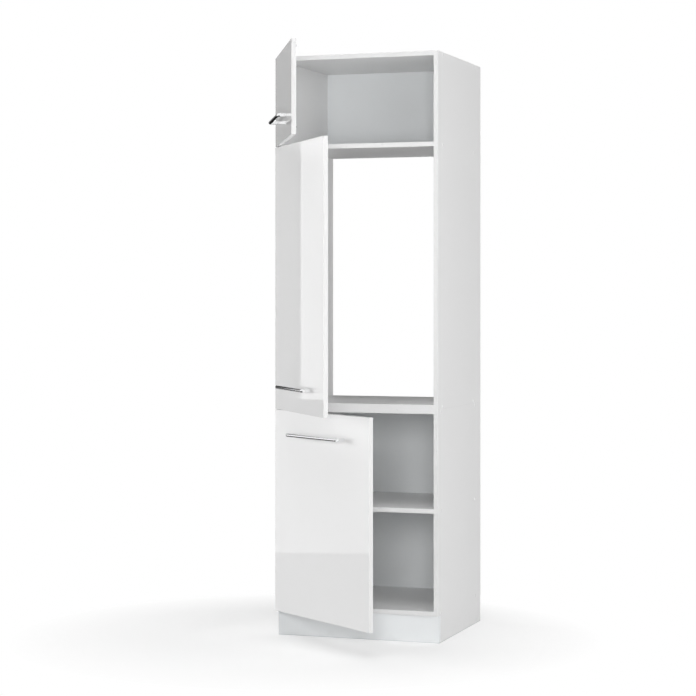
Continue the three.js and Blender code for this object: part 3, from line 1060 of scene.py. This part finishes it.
@dataclass
class Carcass:
    """The two board modules and the plinth."""

    melamine: Melamine = Melamine()
    plinth_melamine: Melamine = Melamine(colour=(0.885, 0.905, 0.915))
    fibreboard: Fibreboard = Fibreboard()
    band: EdgeBand = EdgeBand()
    band_thickness: float = 0.0004
    band_edge: float = 0.00035
    back_thickness: float = 0.0027
    back_corner: float = 0.0006
    back_edge: float = 0.0003
    nail_radius: float = 0.0016
    nail_height: float = 0.0003
    nail_points: int = 14
    nail_dome: tuple[Pair, ...] = ((1.0, 0.0), (0.96, 0.5), (0.7, 0.9), (0.0, 1.0))
    nail_pitch: float = 0.094
    nail_inset: float = 0.008
    boards: tuple[str, ...] = (
        "plinth_board",
        "lower_side_left",
        "lower_side_right",
        "lower_bottom",
        "lower_shelf",
        "lower_top",
        "upper_side_left",
        "upper_side_right",
        "niche_floor",
        "niche_ceiling",
        "upper_top",
    )
    level_boards: tuple[str, ...] = (
        "lower_bottom",
        "lower_shelf",
        "lower_top",
        "niche_floor",
        "niche_ceiling",
        "upper_top",
    )

    def build(self) -> None:
        """Dress the boards, and make the edge bands, the lower back board and its nails."""
        for name in self.boards:
            finish = self.plinth_melamine if name == "plinth_board" else self.melamine
            dress(name, finish.material(f"melamine_{name}", *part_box(name)))
        dress("upper_back", self.fibreboard.material("fibreboard_upper", *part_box("upper_back")))
        self.add_bands()
        self.add_lower_back()
        self.add_nails()

    def add_bands(self) -> None:
        """Band the front edges of the sides and of the level boards."""
        material = self.band.material("edge_band")
        for label, low, high in (("lower", PLINTH_TOP, MODULE_SPLIT), ("upper", MODULE_SPLIT, UNIT_TOP)):
            draft = Draft()
            for side in Side:
                middle = side.value * (HALF_WIDTH - BOARD / 2)
                self.add_band(draft, (BOARD, high - low), Vector((middle, FRONT, (low + high) / 2)))
            for name in self.level_boards:
                bottom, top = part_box(name)
                if low <= bottom.z < high:
                    centre = (bottom + top) / 2
                    self.add_band(draft, (top.x - bottom.x, BOARD), Vector((centre.x, FRONT, centre.z)))
            deliver(draft, f"edge_bands_{label}", Body.CARCASS, material)

    def add_band(self, draft: Draft, size: Pair, origin: Vector) -> None:
        """Add one band to a draft.

        Args:
            draft: The draft.
            size: The band's width and height.
            origin: The middle of the edge that it covers.
        """
        place = facing(INTO_ROOM, origin)
        draft.plate((*size, self.band_thickness), place, self.band_edge, self.band_edge)

    def add_lower_back(self) -> None:
        """Make the lower back board."""
        low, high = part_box("lower_back")
        panel = Draft()
        middle = Vector(((low.x + high.x) / 2, low.y, (low.z + high.z) / 2))
        size = (high.x - low.x, high.z - low.z, self.back_thickness)
        panel.plate(size, facing(TO_WALL, middle), self.back_corner, self.back_edge)
        finish = self.fibreboard.material("fibreboard_lower", low, low + Vector((0, self.back_thickness, 0)))
        deliver(panel, "back_board_lower", Body.CARCASS, finish, ["lower_back"])

    def add_nails(self) -> None:
        """Nail the lower back board to the sides and the level boards in front of it."""
        low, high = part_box("lower_back")
        nails = Draft()
        surface = low.y + self.back_thickness
        tall = high.z - low.z - 2 * self.nail_inset
        wide = high.x - low.x - 2 * self.nail_inset
        upright_count = round(tall / self.nail_pitch)
        level_count = round(wide / self.nail_pitch)
        for side in Side:
            for index in range(upright_count + 1):
                share = index / upright_count
                z = low.z + self.nail_inset + share * tall
                self.add_nail(nails, Vector((side.value * (HALF_WIDTH - self.nail_inset), surface, z)))
        for name in ("lower_bottom", "lower_shelf", "lower_top"):
            bottom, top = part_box(name)
            for index in range(1, level_count):
                x = low.x + self.nail_inset + index / level_count * wide
                self.add_nail(nails, Vector((x, surface, (bottom.z + top.z) / 2)))
        deliver(nails, "back_board_nails", Body.CARCASS, ZINC.material("nail_zinc"))

    def add_nail(self, draft: Draft, origin: Vector) -> None:
        """Add one nail head that faces the wall.

        Args:
            draft: The draft.
            origin: The middle of its seat.
        """
        dome = [(self.nail_radius * share, self.nail_height * rise) for share, rise in self.nail_dome]
        draft.skin(lathe_rings(dome, self.nail_points), facing(TO_WALL, origin))


@dataclass
class CarcassScrews:
    """The screws through the sides under their cover caps, and those that tie the modules."""

    cap_radius: float = 0.0065
    cap_height: float = 0.00118
    cap_points: int = 36
    shank_radius: float = 0.0024
    shank_length: float = 0.049
    shank_tip: float = 0.004
    shank_gap: float = 0.0002
    shank_points: int = 12
    per_side: int = 12
    link_radius: float = 0.006
    link_height: float = 0.0028
    link_seat: float = 0.003
    link_shank: float = 0.0029
    link_overlap: float = 0.0004
    link_length: float = 0.0265
    link_tip: Pair = (0.0006, 0.0025)
    link_points: int = 16
    plastic: MouldedPlastic = MouldedPlastic((0.975, 0.975, 0.975), roughness=(0.15, 0.26))

    def build(self) -> None:
        """Make the caps of both sides and the two module screws."""
        material = self.plastic.material("cap_plastic")
        for side in Side:
            names = [f"side_screw_{side.label}_{number + 1}" for number in range(self.per_side)]
            draft = Draft()
            for name in names:
                low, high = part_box(name)
                centre = (low + high) / 2
                outside = Vector((side.value * HALF_WIDTH, centre.y, centre.z))
                self.add_cap(draft, facing(Vector((side.value, 0, 0)), outside))
            deliver(draft, f"screw_caps_{side.label}", Body.CARCASS, material, names)
        zinc = ZINC.material("link_zinc")
        for side in Side:
            name = f"module_screw_{side.label}"
            low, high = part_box(name)
            centre = (low + high) / 2
            draft = Draft()
            seat = Vector((centre.x, centre.y, low.z + self.link_seat))
            draft.screw_head(facing(-UP, seat), self.link_radius, self.link_height)
            tip_radius, tip_length = self.link_tip
            shank = [
                (self.link_shank, -self.link_overlap),
                (self.link_shank, self.link_length - tip_length),
                (tip_radius, self.link_length),
            ]
            draft.skin(lathe_rings(shank, self.link_points), Matrix.Translation(seat))
            deliver(draft, f"link_screw_{side.label}", Body.CARCASS, zinc, [name])

    def add_cap(self, draft: Draft, place: Matrix) -> None:
        """Add one cap with its screw.

        Args:
            draft: The draft.
            place: Where the cap lies on the side, facing out.
        """
        dome = [
            (0.97, 0.0),
            (1.0, 0.05),
            (0.995, 0.15),
            (0.9, 0.72),
            (0.85, 0.87),
            (0.78, 0.95),
            (0.6, 0.985),
            (0.3, 0.995),
            (0.0, 1.0),
        ]
        cap = [(self.cap_radius * share, self.cap_height * rise) for share, rise in dome]
        draft.skin(lathe_rings(cap, self.cap_points), place)
        shank = [
            (0.0, -self.shank_length),
            (self.shank_radius, -self.shank_length + self.shank_tip),
            (self.shank_radius, -self.shank_gap),
        ]
        draft.skin(lathe_rings(shank, self.shank_points), place)


@dataclass
class WallBracket:
    """One angle of sheet steel that ties the housing to the wall."""

    side: Side
    sheet: float = 0.002
    corner: float = 0.003
    soft: float = 0.0004
    hole: float = 0.003
    slot_length: float = 0.012
    slot_points: int = 48
    screw_depth: float = 0.36
    screw_rise: float = 0.26
    screw_radius: float = 0.0036
    screw_height: float = 0.002

    def build(self) -> None:
        """Make the angle with its slot, and the two screws that hold it to the side."""
        name = f"wall_bracket_{self.side.label}"
        low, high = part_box(name)
        draft = Draft()
        direction = self.side.value
        root = INNER * direction
        deep = high.y - low.y
        tall = high.z - low.z
        middle = (low.z + high.z) / 2
        inward = Vector((-direction, 0, 0))
        along = facing(inward, Vector((root, (low.y + high.y) / 2, middle)))
        draft.plate((deep, tall, self.sheet), along, self.corner, self.soft)
        wide = high.x - low.x
        centre = Vector(((low.x + high.x) / 2, high.y - self.sheet, middle))
        self.add_slotted_leg(draft, facing(TO_WALL, centre), wide, tall)
        across = root - direction * self.sheet
        for rise in BOTH_WAYS:
            height = middle + rise * tall * self.screw_rise
            seat = Vector((across, low.y + deep * self.screw_depth, height))
            draft.screw_head(facing(inward, seat), self.screw_radius, self.screw_height)
        material = ZINC.material(f"bracket_zinc_{self.side.label}")
        deliver(draft, f"wall_angle_{self.side.label}", Body.CARCASS, material, [name])

    def add_slotted_leg(self, draft: Draft, place: Matrix, wide: float, tall: float) -> None:
        """Add the leg that lies on the wall, with a slot through it.

        Args:
            draft: The draft.
            place: Where the leg's middle is, facing the wall.
            wide: The leg's width.
            tall: The leg's height.
        """
        count = self.slot_points
        soft = self.soft

        def outer(inset: float) -> Outline:
            """The leg's outline.

            Args:
                inset: How far it lies inside the leg's edge.

            Returns:
                The points, anticlockwise.
            """
            across = wide / 2 - inset
            along = tall / 2 - inset
            return polar(lambda x, y: min(across / max(abs(x), TINY), along / max(abs(y), TINY)), count)

        slot = polar(eared_reach(self.hole, self.slot_length / 2, self.hole), count)
        rings = [
            lift(outer(soft), 0.0),
            lift(outer(0.0), soft),
            lift(outer(0.0), self.sheet - soft),
            lift(outer(soft), self.sheet),
            lift(grow(slot, soft), self.sheet),
            lift(slot, self.sheet - soft),
            lift(slot, soft),
            lift(grow(slot, soft), 0.0),
        ]
        draft.skin(rings, place, looped=True)


# The doors


@dataclass
class DoorLeaf:
    """One door with everything that turns with it, and its hinge arms on the carcass."""

    name: str
    body: Body
    low: float
    high: float
    opened: float
    hinge_inset: float
    handle_height: float
    pin: Vector = field(default_factory=lambda: Vector((-0.292011, -0.031799, 0.0)))
    width: float = 0.597
    hinge_edge: float = -0.006489
    back: float = 0.0068
    face: float = -0.0092
    handle_middle: float = 0.278011
    buffer_radius: float = 0.0040
    buffer_height: float = 0.0024
    buffer_points: int = 28
    buffer_inset: float = 0.0065
    buffer_end: float = 0.024
    gloss: GlossFront = GlossFront()
    rubber: MouldedPlastic = MouldedPlastic((0.84, 0.85, 0.86), roughness=(0.17, 0.28), clear=0.55)

    @property
    def angle(self) -> float:
        """The opening angle in radians."""
        return math.radians(self.opened)

    @property
    def place(self) -> Matrix:
        """Where the drawing of the closed door, made round the pin, comes to stand."""
        return Matrix.Translation(self.pin) @ Matrix.Rotation(-self.angle, 4, "Z")

    @property
    def hinge_heights(self) -> dict[str, float]:
        """The heights of the two hinges by their names."""
        return {"lower": self.low + self.hinge_inset, "upper": self.high - self.hinge_inset}

    def build(self) -> None:
        """Dress the door, and make its handle, hinges and buffers."""
        dress(f"{self.name}_door", self.gloss.material(f"gloss_front_{self.name}", self))
        BowHandle(self).build()
        for label, height in self.hinge_heights.items():
            CupHinge(self, label, height).build()
        self.add_buffers()

    def add_buffers(self) -> None:
        """Stick a soft buffer on the back of each free corner."""
        draft = Draft()
        across = self.hinge_edge + self.width - self.buffer_inset
        dome = [(1.0, 0.0), (1.0, 0.35), (0.94, 0.62), (0.78, 0.85), (0.5, 0.97), (0.0, 1.0)]
        pad = [(self.buffer_radius * share, self.buffer_height * rise) for share, rise in dome]
        for height in (self.low + self.buffer_end, self.high - self.buffer_end):
            seat = facing(TO_WALL, Vector((across, self.back, height)))
            draft.skin(lathe_rings(pad, self.buffer_points), self.place @ seat)
        material = self.rubber.material(f"buffer_{self.name}")
        deliver(draft, f"door_buffers_{self.name}", self.body, material)


@dataclass
class BowHandle:
    """A chromed rod bent to a bow, and the two screws that hold it from the door's back."""

    door: DoorLeaf
    half_span: float = 0.160
    rod: float = 0.006
    reach: float = 0.030
    bend: float = 0.009
    sides: int = 40
    bend_steps: int = 14
    foot_radius: float = 0.0005
    screw_radius: float = 0.0042
    screw_height: float = 0.0022

    def stations(self) -> list[tuple[Vector, Vector, float]]:
        """The line that the rod follows, from one foot to the other.

        Returns:
            Each point with its direction and the rod's radius there.
        """
        foot = [(0.0, self.rod - self.foot_radius), (self.foot_radius, self.rod)]
        line = [(Vector((-self.half_span, -rise, 0)), INTO_ROOM, radius) for rise, radius in foot]
        corner = self.half_span - self.bend
        for direction in BOTH_WAYS:
            for step in range(self.bend_steps + 1):
                share = step / self.bend_steps
                turn = math.pi / 2 * (share if direction < 0 else 1 - share)
                out = self.bend - self.reach - self.bend * math.sin(turn)
                across = direction * (corner + self.bend * math.cos(turn))
                heading = Vector((math.sin(turn), direction * math.cos(turn), 0))
                line.append((Vector((across, out, 0)), heading, self.rod))
        line += [
            (Vector((self.half_span, -rise, 0)), TO_WALL, radius) for rise, radius in reversed(foot)
        ]
        return line

    def build(self) -> None:
        """Make the rod and its screws."""
        origin = Vector((self.door.handle_middle, self.door.face, self.door.handle_height))
        place = self.door.place @ Matrix.Translation(origin)
        rings = [
            swept_ring(circle(radius, self.sides), point, heading)
            for point, heading, radius in self.stations()
        ]
        draft = Draft()
        draft.skin(rings, place)
        name = self.door.name
        chrome = CHROME.material(f"handle_chrome_{name}")
        deliver(draft, f"bow_handle_{name}", self.door.body, chrome, [f"handle_{name}"])

        screws = Draft()
        thickness = self.door.back - self.door.face
        for direction in BOTH_WAYS:
            seat = facing(TO_WALL, Vector((direction * self.half_span, thickness, 0)))
            screws.screw_head(place @ seat, self.screw_radius, self.screw_height)
        zinc = ZINC.material(f"handle_screw_zinc_{name}")
        deliver(screws, f"handle_screws_{name}", self.door.body, zinc)


@dataclass
class CupHinge:
    """A cup in the door and an arm on the side, joined by the pin that the door turns on."""

    door: DoorLeaf
    label: str
    height: float
    cup_middle: float = 0.014011
    cup_outer: float = 0.0172
    cup_inner: float = 0.0166
    cup_underside: float = -0.0054
    cup_floor: float = -0.0046
    cup_points: int = 64
    bowl_round: tuple[Pair, ...] = ((0.0018, 0.0), (0.0006, 0.0004), (0.0, 0.0016))
    pad_shares: Pair = (0.46, 0.42)
    pad_rise: float = 0.0005
    flange_top: float = 0.0083
    flange_round: float = 0.0005
    flange_disc: float = 0.0182
    ear_half_span: float = 0.029
    ear_round: float = 0.009
    ear_screw: float = 0.0225
    ear_head: Pair = (0.0033, 0.0008)
    pin_radius: float = 0.001
    pin_half: float = 0.0096
    pin_points: int = 20
    side_face: float = 0.008011
    plate_sheet: float = 0.0019
    carcass_front: float = 0.009799
    arm_setback: float = 0.004
    arm_length: float = 0.056
    arm_height: float = 0.007
    arm_half_width: float = 0.007
    plate_line: float = 0.037
    plate_length: float = 0.038
    wing_length: float = 0.018
    wing_span: float = 0.048
    wing_screw: float = 0.016
    wing_corner: float = 0.0065
    wing_head: Pair = (0.0038, 0.0014)
    foot_corner: float = 0.002
    plate_edge: float = 0.0003
    arm_screws: tuple[Pair, ...] = ((0.016, 0.0032), (0.042, 0.0036))
    arm_head_height: float = 0.0012
    channel_wall: float = 0.0011
    channel_round: float = 0.0014
    neck_sheet: float = 0.0016
    neck_half_width: float = 0.004
    elbow_drop: float = 0.0026
    knuckle: float = 0.0018
    eye: float = 0.0013
    eye_points: int = 32
    overlap: float = 0.0002

    @property
    def title(self) -> str:
        """The hinge's part in the names of pieces."""
        return f"{self.door.name}_{self.label}"

    def build(self) -> None:
        """Make the cup on the door and the arm on the side."""
        material = NICKEL.material(f"hinge_nickel_{self.title}")
        self.build_cup(material)
        self.build_arm(material)

    def build_cup(self, material: bpy.types.Material) -> None:
        """Make the cup's piece, with its bowl, flange, two flange screws and pin.

        Args:
            material: The hinge's finish.
        """
        place = self.door.place @ Matrix.Translation(UP * self.height)
        bowl_place = place @ facing(TO_WALL, Vector((self.cup_middle, 0, 0)))
        draft = Draft()
        self.add_bowl(draft, bowl_place)
        self.add_flange(draft, bowl_place)
        for direction in BOTH_WAYS:
            seat = Matrix.Translation(Vector((0, direction * self.ear_screw, self.flange_top - self.overlap)))
            draft.screw_head(bowl_place @ seat, *self.ear_head)
        pin = [(self.pin_radius * 0.7, -self.pin_half), (self.pin_radius, -self.pin_half + 0.0003)]
        pin += [(radius, -height) for radius, height in reversed(pin)]
        draft.skin(lathe_rings(pin, self.pin_points), place)
        replaced = [f"hinge_cup_{self.title}"]
        deliver(draft, f"cup_{self.title}", self.door.body, material, replaced)

    def add_bowl(self, draft: Draft, place: Matrix) -> None:
        """Add the drawn bowl, with a rounded foot and a raised pad on its floor.

        Args:
            draft: The draft.
            place: The bowl's axis, with the third direction out of the door's back.
        """
        outer = self.cup_outer
        inner = self.cup_inner
        floor = self.cup_floor
        outside = [(outer - inset, self.cup_underside + rise) for inset, rise in self.bowl_round]
        inside = [(inner - inset, floor + rise) for inset, rise in reversed(self.bowl_round)]
        bowl = [
            (0.0, self.cup_underside),
            *outside,
            (outer, self.door.back),
            (inner, self.door.back),
            *inside,
            (inner * self.pad_shares[0], floor),
            (inner * self.pad_shares[1], floor + self.pad_rise),
            (0.0, floor + self.pad_rise),
        ]
        draft.skin(lathe_rings(bowl, self.cup_points), place)

    def add_flange(self, draft: Draft, place: Matrix) -> None:
        """Add the eared flange that lies on the door's back round the bowl.

        Args:
            draft: The draft.
            place: The bowl's axis, with the third direction out of the door's back.
        """
        count = self.cup_points
        inner = self.cup_inner
        base = self.door.back
        top = self.flange_top
        shape = polar(eared_reach(self.flange_disc, self.ear_half_span, self.ear_round), count)
        rings = [
            lift(shape, base),
            lift(shape, top - 0.0004),
            lift(grow(shape, -0.00012), top - 0.00012),
            lift(grow(shape, -self.flange_round), top),
            lift(circle(inner + 0.0006, count), top),
            lift(circle(inner + 0.00015, count), top - 0.00015),
            lift(circle(inner, count), top - 0.0006),
            lift(circle(inner, count), base),
        ]
        draft.skin(rings, place, looped=True)

    def build_arm(self, material: bpy.types.Material) -> None:
        """Make the arm's piece, with its neck, channel, cross plate and screws.

        Args:
            material: The hinge's finish.
        """
        place = Matrix.Translation(self.door.pin + UP * self.height)
        draft = Draft()
        neck = self.side_face + self.plate_sheet
        start = self.carcass_front + self.arm_setback
        self.add_neck(draft, place, neck, start)
        self.add_channel(draft, place, neck, start)
        middle = self.carcass_front + self.plate_line
        inward = Vector((1, 0, 0))
        wings = place @ facing(inward, Vector((self.side_face, middle, 0)))
        cross = (self.wing_length, self.wing_span, self.plate_sheet)
        draft.plate(cross, wings, self.wing_corner, self.plate_edge)
        foot = (self.plate_length, 2 * self.arm_half_width, self.plate_sheet - self.overlap)
        draft.plate(foot, wings, self.foot_corner, self.plate_edge)
        for direction in BOTH_WAYS:
            seat = wings @ Matrix.Translation(Vector((0, direction * self.wing_screw, self.plate_sheet)))
            draft.screw_head(seat, *self.wing_head)
        roof = neck + self.arm_height
        for along, radius in self.arm_screws:
            seat = place @ facing(inward, Vector((roof - self.overlap, start + along, 0)))
            draft.screw_head(seat, radius, self.arm_head_height)
        replaced = [f"hinge_arm_{self.title}"]
        deliver(draft, f"arm_{self.title}", Body.CARCASS, material, replaced)

    def add_neck(self, draft: Draft, place: Matrix, neck: float, start: float) -> None:
        """Add the swan neck that runs from the pin round the elbow to the arm, and its eye.

        Args:
            draft: The draft.
            place: Where the pin is.
            neck: The neck's side that faces the carcass side.
            start: The arm's front end.
        """
        half = self.neck_sheet / 2
        line = [
            Vector((self.eye + self.overlap, -0.0004, 0)),
            Vector((neck * 0.6, -self.elbow_drop * 0.72, 0)),
            Vector((neck - 0.0008, -self.elbow_drop, 0)),
            Vector((neck + half * 0.55, -self.elbow_drop + 0.0003, 0)),
            Vector((neck + half, -self.elbow_drop + 0.0016, 0)),
            Vector((neck + half, start * 0.55, 0)),
            Vector((neck + half, start + 0.002, 0)),
        ]
        section = rounded_rectangle(self.neck_sheet, 2 * self.neck_half_width, 0.0004, 3)
        rings: list[Ring] = []
        for index, point in enumerate(line):
            before = line[max(index - 1, 0)]
            after = line[min(index + 1, len(line) - 1)]
            rings.append(swept_ring(section, point, after - before))
        draft.skin(rings, place)
        eye = [
            (self.eye, -self.neck_half_width),
            (self.knuckle, -self.neck_half_width),
            (self.knuckle, self.neck_half_width),
            (self.eye, self.neck_half_width),
        ]
        draft.skin(lathe_rings(eye, self.eye_points), place, looped=True)

    def add_channel(self, draft: Draft, place: Matrix, neck: float, start: float) -> None:
        """Add the arm's pressed channel, which narrows and drops towards the door.

        Args:
            draft: The draft.
            place: Where the pin is.
            neck: The channel's open side.
            start: The channel's front end.
        """
        wall = self.channel_wall
        soft = self.channel_round
        stations = [(0.0, 0.62, 0.58), (0.004, 0.78, 0.8), (0.010, 0.95, 0.97), (0.016, 1.0, 1.0)]
        stations += [(self.arm_length - 0.003, 1.0, 1.0), (self.arm_length, 0.94, 0.86)]
        rings: list[Ring] = []
        for along, width, rise in stations:
            half = self.arm_half_width * width
            tall = self.arm_height * rise
            section = [
                (0.0, half),
                (tall - soft, half),
                (tall - soft * 0.3, half - soft * 0.3),
                (tall, half - soft),
                (tall, soft - half),
                (tall - soft * 0.3, soft * 0.3 - half),
                (tall - soft, -half),
                (0.0, -half),
                (0.0, wall - half),
                (tall - soft, wall - half),
                (tall - wall, soft + wall * 0.4 - half),
                (tall - wall, half - soft - wall * 0.4),
                (tall - soft, half - wall),
                (0.0, half - wall),
            ]
            rings.append([Vector((neck + x, start + along, z)) for x, z in section])
        draft.skin(rings, place)


# The studio


def upright(start: Pair, end: Pair, low: float, high: float) -> tuple[Point, ...]:
    """The corners of an upright board over a line on the floor."""
    return ((*start, low), (*end, low), (*end, high), (*start, high))


@dataclass(frozen=True)
class Card:
    """A flat board of the studio that only glossy surfaces see."""

    name: str
    corners: tuple[Point, ...]
    glow: float
    top_glow: float

    def build(self) -> None:
        """Hang the board, with its glow graded from its foot to its top."""
        data = bpy.data.meshes.new(self.name)
        data.from_pydata(self.corners, [], [tuple(range(len(self.corners)))])
        made = bpy.data.objects.new(self.name, data)
        bpy.context.scene.collection.objects.link(made)
        shader = Shader(self.name)
        lights = shader.node("ShaderNodeEmission")
        heights = [corner[2] for corner in self.corners]
        rise = shader.parts(shader.place())[2]
        span = (min(heights), max(heights) + TINY)
        shader.link(shader.spread(rise, span, (self.glow, self.top_glow)), lights.inputs["Strength"])
        shader.link(lights.outputs["Emission"], shader.output.inputs["Surface"])
        data.materials.append(shader.material)
        made.visible_camera = False
        made.visible_diffuse = False
        made.visible_shadow = False
        made.visible_transmission = False


@dataclass(frozen=True)
class SoftBox:
    """An area lamp that neither the camera nor a glossy surface sees."""

    name: str
    origin: Point
    target: Point
    size: Pair
    power: float

    def build(self) -> None:
        """Hang the lamp and turn it towards its target."""
        data = bpy.data.lights.new(self.name, "AREA")
        data.shape = "RECTANGLE"
        data.size, data.size_y = self.size
        data.energy = self.power
        lamp = bpy.data.objects.new(self.name, data)
        lamp.location = self.origin
        heading = Vector(self.target) - Vector(self.origin)
        lamp.rotation_mode = "QUATERNION"
        lamp.rotation_quaternion = heading.to_track_quat("-Z", "Y")
        lamp.visible_camera = False
        lamp.visible_glossy = False
        bpy.context.scene.collection.objects.link(lamp)


@dataclass
class Studio:
    """The pale floor, the white surroundings, the lamps and the reflected boards."""

    floor_radius: float = 14.0
    floor_points: int = 96
    floor_drop: float = 0.0003
    floor_roughness: float = 0.9
    floor_albedo: float = 0.88
    floor_lift: float = 0.235
    shade_middle: Pair = (-0.20, 0.0)
    near_radius: float = 0.42
    far_radius: float = 1.05
    ambient: float = 0.05
    lamps: tuple[SoftBox, ...] = (
        SoftBox("key_softbox", (1.6, -5.2, 1.5), (0.0, 0.1, 1.0), (1.3, 1.3), 89.5),
        SoftBox("top_softbox", (0.2, -1.8, 4.4), (0.0, 0.0, 1.1), (2.6, 2.6), 57.0),
        SoftBox("left_front_softbox", (-2.6, -3.2, 1.6), (0.0, 0.0, 1.1), (2.4, 2.6), 1.0),
        SoftBox("left_softbox", (-6.0, 0.8, 1.1), (-0.1, -0.1, 1.0), (1.8, 1.9), 266.0),
        SoftBox("right_front_softbox", (3.2, -2.6, 1.6), (0.1, 0.0, 1.1), (2.2, 2.6), 53.5),
        SoftBox("right_softbox", (4.0, 0.4, 1.6), (0.1, 0.2, 1.1), (2.2, 2.6), 33.0),
        SoftBox("rear_softbox", (-1.2, 5.6, 1.3), (0.0, 0.5, 1.2), (2.4, 1.2), 50.0),
    )
    cards: tuple[Card, ...] = (
        Card(
            "floor_flag",
            ((-2.64, -2.6, 0.004), (-0.34, -2.6, 0.004), (-0.34, 2.6, 0.004), (-2.64, 2.6, 0.004)),
            0.02,
            0.02,
        ),
        Card("grey_flag", upright((-4.2, 1.1), (-2.8, 2.383), -0.3, 2.1), 0.12, 0.12),
        Card("upper_flag", upright((-4.2, 1.1), (-2.8, 2.383), 2.1, 4.2), 0.08, 0.08),
        Card("far_flag", upright((-2.8, 2.383), (-0.6, 4.4), 1.97, 4.2), 0.22, 0.5),
        Card("black_flag", upright((-2.8, 2.383), (-0.6, 4.4), -0.3, 1.97), 0.02, 0.02),
        Card("white_card", upright((-3.237, 1.528), (-2.964, 1.886), 0.68, 2.6), 0.92, 0.92),
    )

    def build(self) -> None:
        """Set up the whole studio."""
        self.build_floor()
        self.build_world()
        for lamp in self.lamps:
            lamp.build()
        for card in self.cards:
            card.build()
        log.info("studio: %d lamps and %d boards", len(self.lamps), len(self.cards))

    def seen(self, tree: bpy.types.NodeTree) -> Socket:
        """A switch that is on for the camera, for reflections and for what shows through glass.

        Args:
            tree: The node tree that it goes into.

        Returns:
            The socket of the switch, which is 1 or 0.
        """
        path = tree.nodes.new("ShaderNodeLightPath")
        total = path.outputs["Is Camera Ray"]
        for name in ("Is Glossy Ray", "Is Transmission Ray"):
            either = tree.nodes.new("ShaderNodeMath")
            either.operation = "MAXIMUM"
            tree.links.new(total, either.inputs[0])
            tree.links.new(path.outputs[name], either.inputs[1])
            total = either.outputs["Value"]
        return total

    def build_floor(self) -> None:
        """Lay the floor: pale, matt and evenly lifted, and faded to painted white by distance from a point,
        which paints out its real shadow further away.
        """
        data = bpy.data.meshes.new("studio_floor")
        rim = lift(circle(self.floor_radius, self.floor_points), -self.floor_drop)
        data.from_pydata(rim, [], [tuple(range(len(rim)))])
        floor = bpy.data.objects.new("studio_floor", data)
        bpy.context.scene.collection.objects.link(floor)
        shader = Shader("studio_floor")
        pale = (self.floor_albedo,) * 3
        shader.set(Base_Color=pale, Roughness=self.floor_roughness, Specular_IOR_Level=0.0)
        offset = shader.vector("SUBTRACT", shader.place(), Vector((*self.shade_middle, 0.0)))
        x, y, _ = shader.parts(offset)
        squares = [shader.sum("MULTIPLY", part, part) for part in (x, y)]
        distance = shader.sum("SQRT", shader.sum("ADD", *squares))
        seen = self.seen(shader.tree)
        lifted = shader.sum("MULTIPLY", seen, self.floor_lift)
        shader.set(Emission_Color=(1.0, 1.0, 1.0), Emission_Strength=lifted)
        # Painted light: from the near radius outwards, the floor fades to plain white emission, whatever
        # shade falls there.
        far = shader.spread(distance, (self.near_radius, self.far_radius), RISING)
        white = shader.node("ShaderNodeEmission")
        mixed = shader.node("ShaderNodeMixShader")
        shader.link(shader.sum("MULTIPLY", far, seen), mixed.inputs[0])
        shader.link(shader.surface.outputs["BSDF"], mixed.inputs[1])
        shader.link(white.outputs["Emission"], mixed.inputs[2])
        shader.link(mixed.outputs["Shader"], shader.output.inputs["Surface"])
        data.materials.append(shader.material)

    def build_world(self) -> None:
        """Surround the scene with soft light that shows as white."""
        world = bpy.data.worlds.new("studio_world")
        world.use_nodes = True
        tree = world.node_tree
        background = tree.nodes["Background"]
        background.inputs["Color"].default_value = (1.0, 1.0, 1.0, 1.0)
        level = tree.nodes.new("ShaderNodeMapRange")
        level.inputs["To Min"].default_value = self.ambient
        level.inputs["To Max"].default_value = 1.0
        tree.links.new(self.seen(tree), level.inputs["Value"])
        tree.links.new(level.outputs["Result"], background.inputs["Strength"])
        bpy.context.scene.world = world


@dataclass(frozen=True)
class PhotoCamera:
    """The camera at the photograph's place and angle."""

    origin: Point = (2.34173, -6.88963, 1.20906)
    heading: float = 19.0657
    focal_pixels: float = 2055.97
    horizon: float = 297.06
    sensor: float = 36.0

    def build(self) -> None:
        """Set the camera up and make it the scene's own."""
        data = bpy.data.cameras.new("photo_camera")
        data.sensor_width = self.sensor
        data.lens = self.focal_pixels * self.sensor / PICTURE_SIDE
        data.shift_y = (self.horizon - PICTURE_SIDE / 2) / PICTURE_SIDE
        camera = bpy.data.objects.new("photo_camera", data)
        camera.location = self.origin
        camera.rotation_euler = (math.pi / 2, 0.0, math.radians(self.heading))
        bpy.context.scene.collection.objects.link(camera)
        bpy.context.scene.camera = camera
        log.info("camera: %.1f mm lens", data.lens)


DOORS: tuple[DoorLeaf, ...] = (
    DoorLeaf(
        "bottom",
        Body.BOTTOM_LEAF,
        low=0.0900,
        high=0.8075,
        opened=37.3,
        hinge_inset=0.100,
        handle_height=0.7245,
    ),
    DoorLeaf(
        "fridge",
        Body.FRIDGE_LEAF,
        low=0.8105,
        high=1.7415,
        opened=53.5,
        hinge_inset=0.100,
        handle_height=0.8935,
    ),
    DoorLeaf(
        "top",
        Body.TOP_LEAF,
        low=1.7445,
        high=2.0605,
        opened=63.9,
        hinge_inset=0.070,
        handle_height=1.8205,
    ),
)


def main() -> None:
    """Build the camera, the studio and every piece."""
    logging.basicConfig(level=logging.INFO, format="%(name)s %(message)s")
    PhotoCamera().build()
    Studio().build()
    Carcass().build()
    CarcassScrews().build()
    for side in Side:
        WallBracket(side).build()
    for door in DOORS:
        door.build()
    bpy.context.scene.view_settings.view_transform = "Standard"


if __name__ == "__main__":
    main()
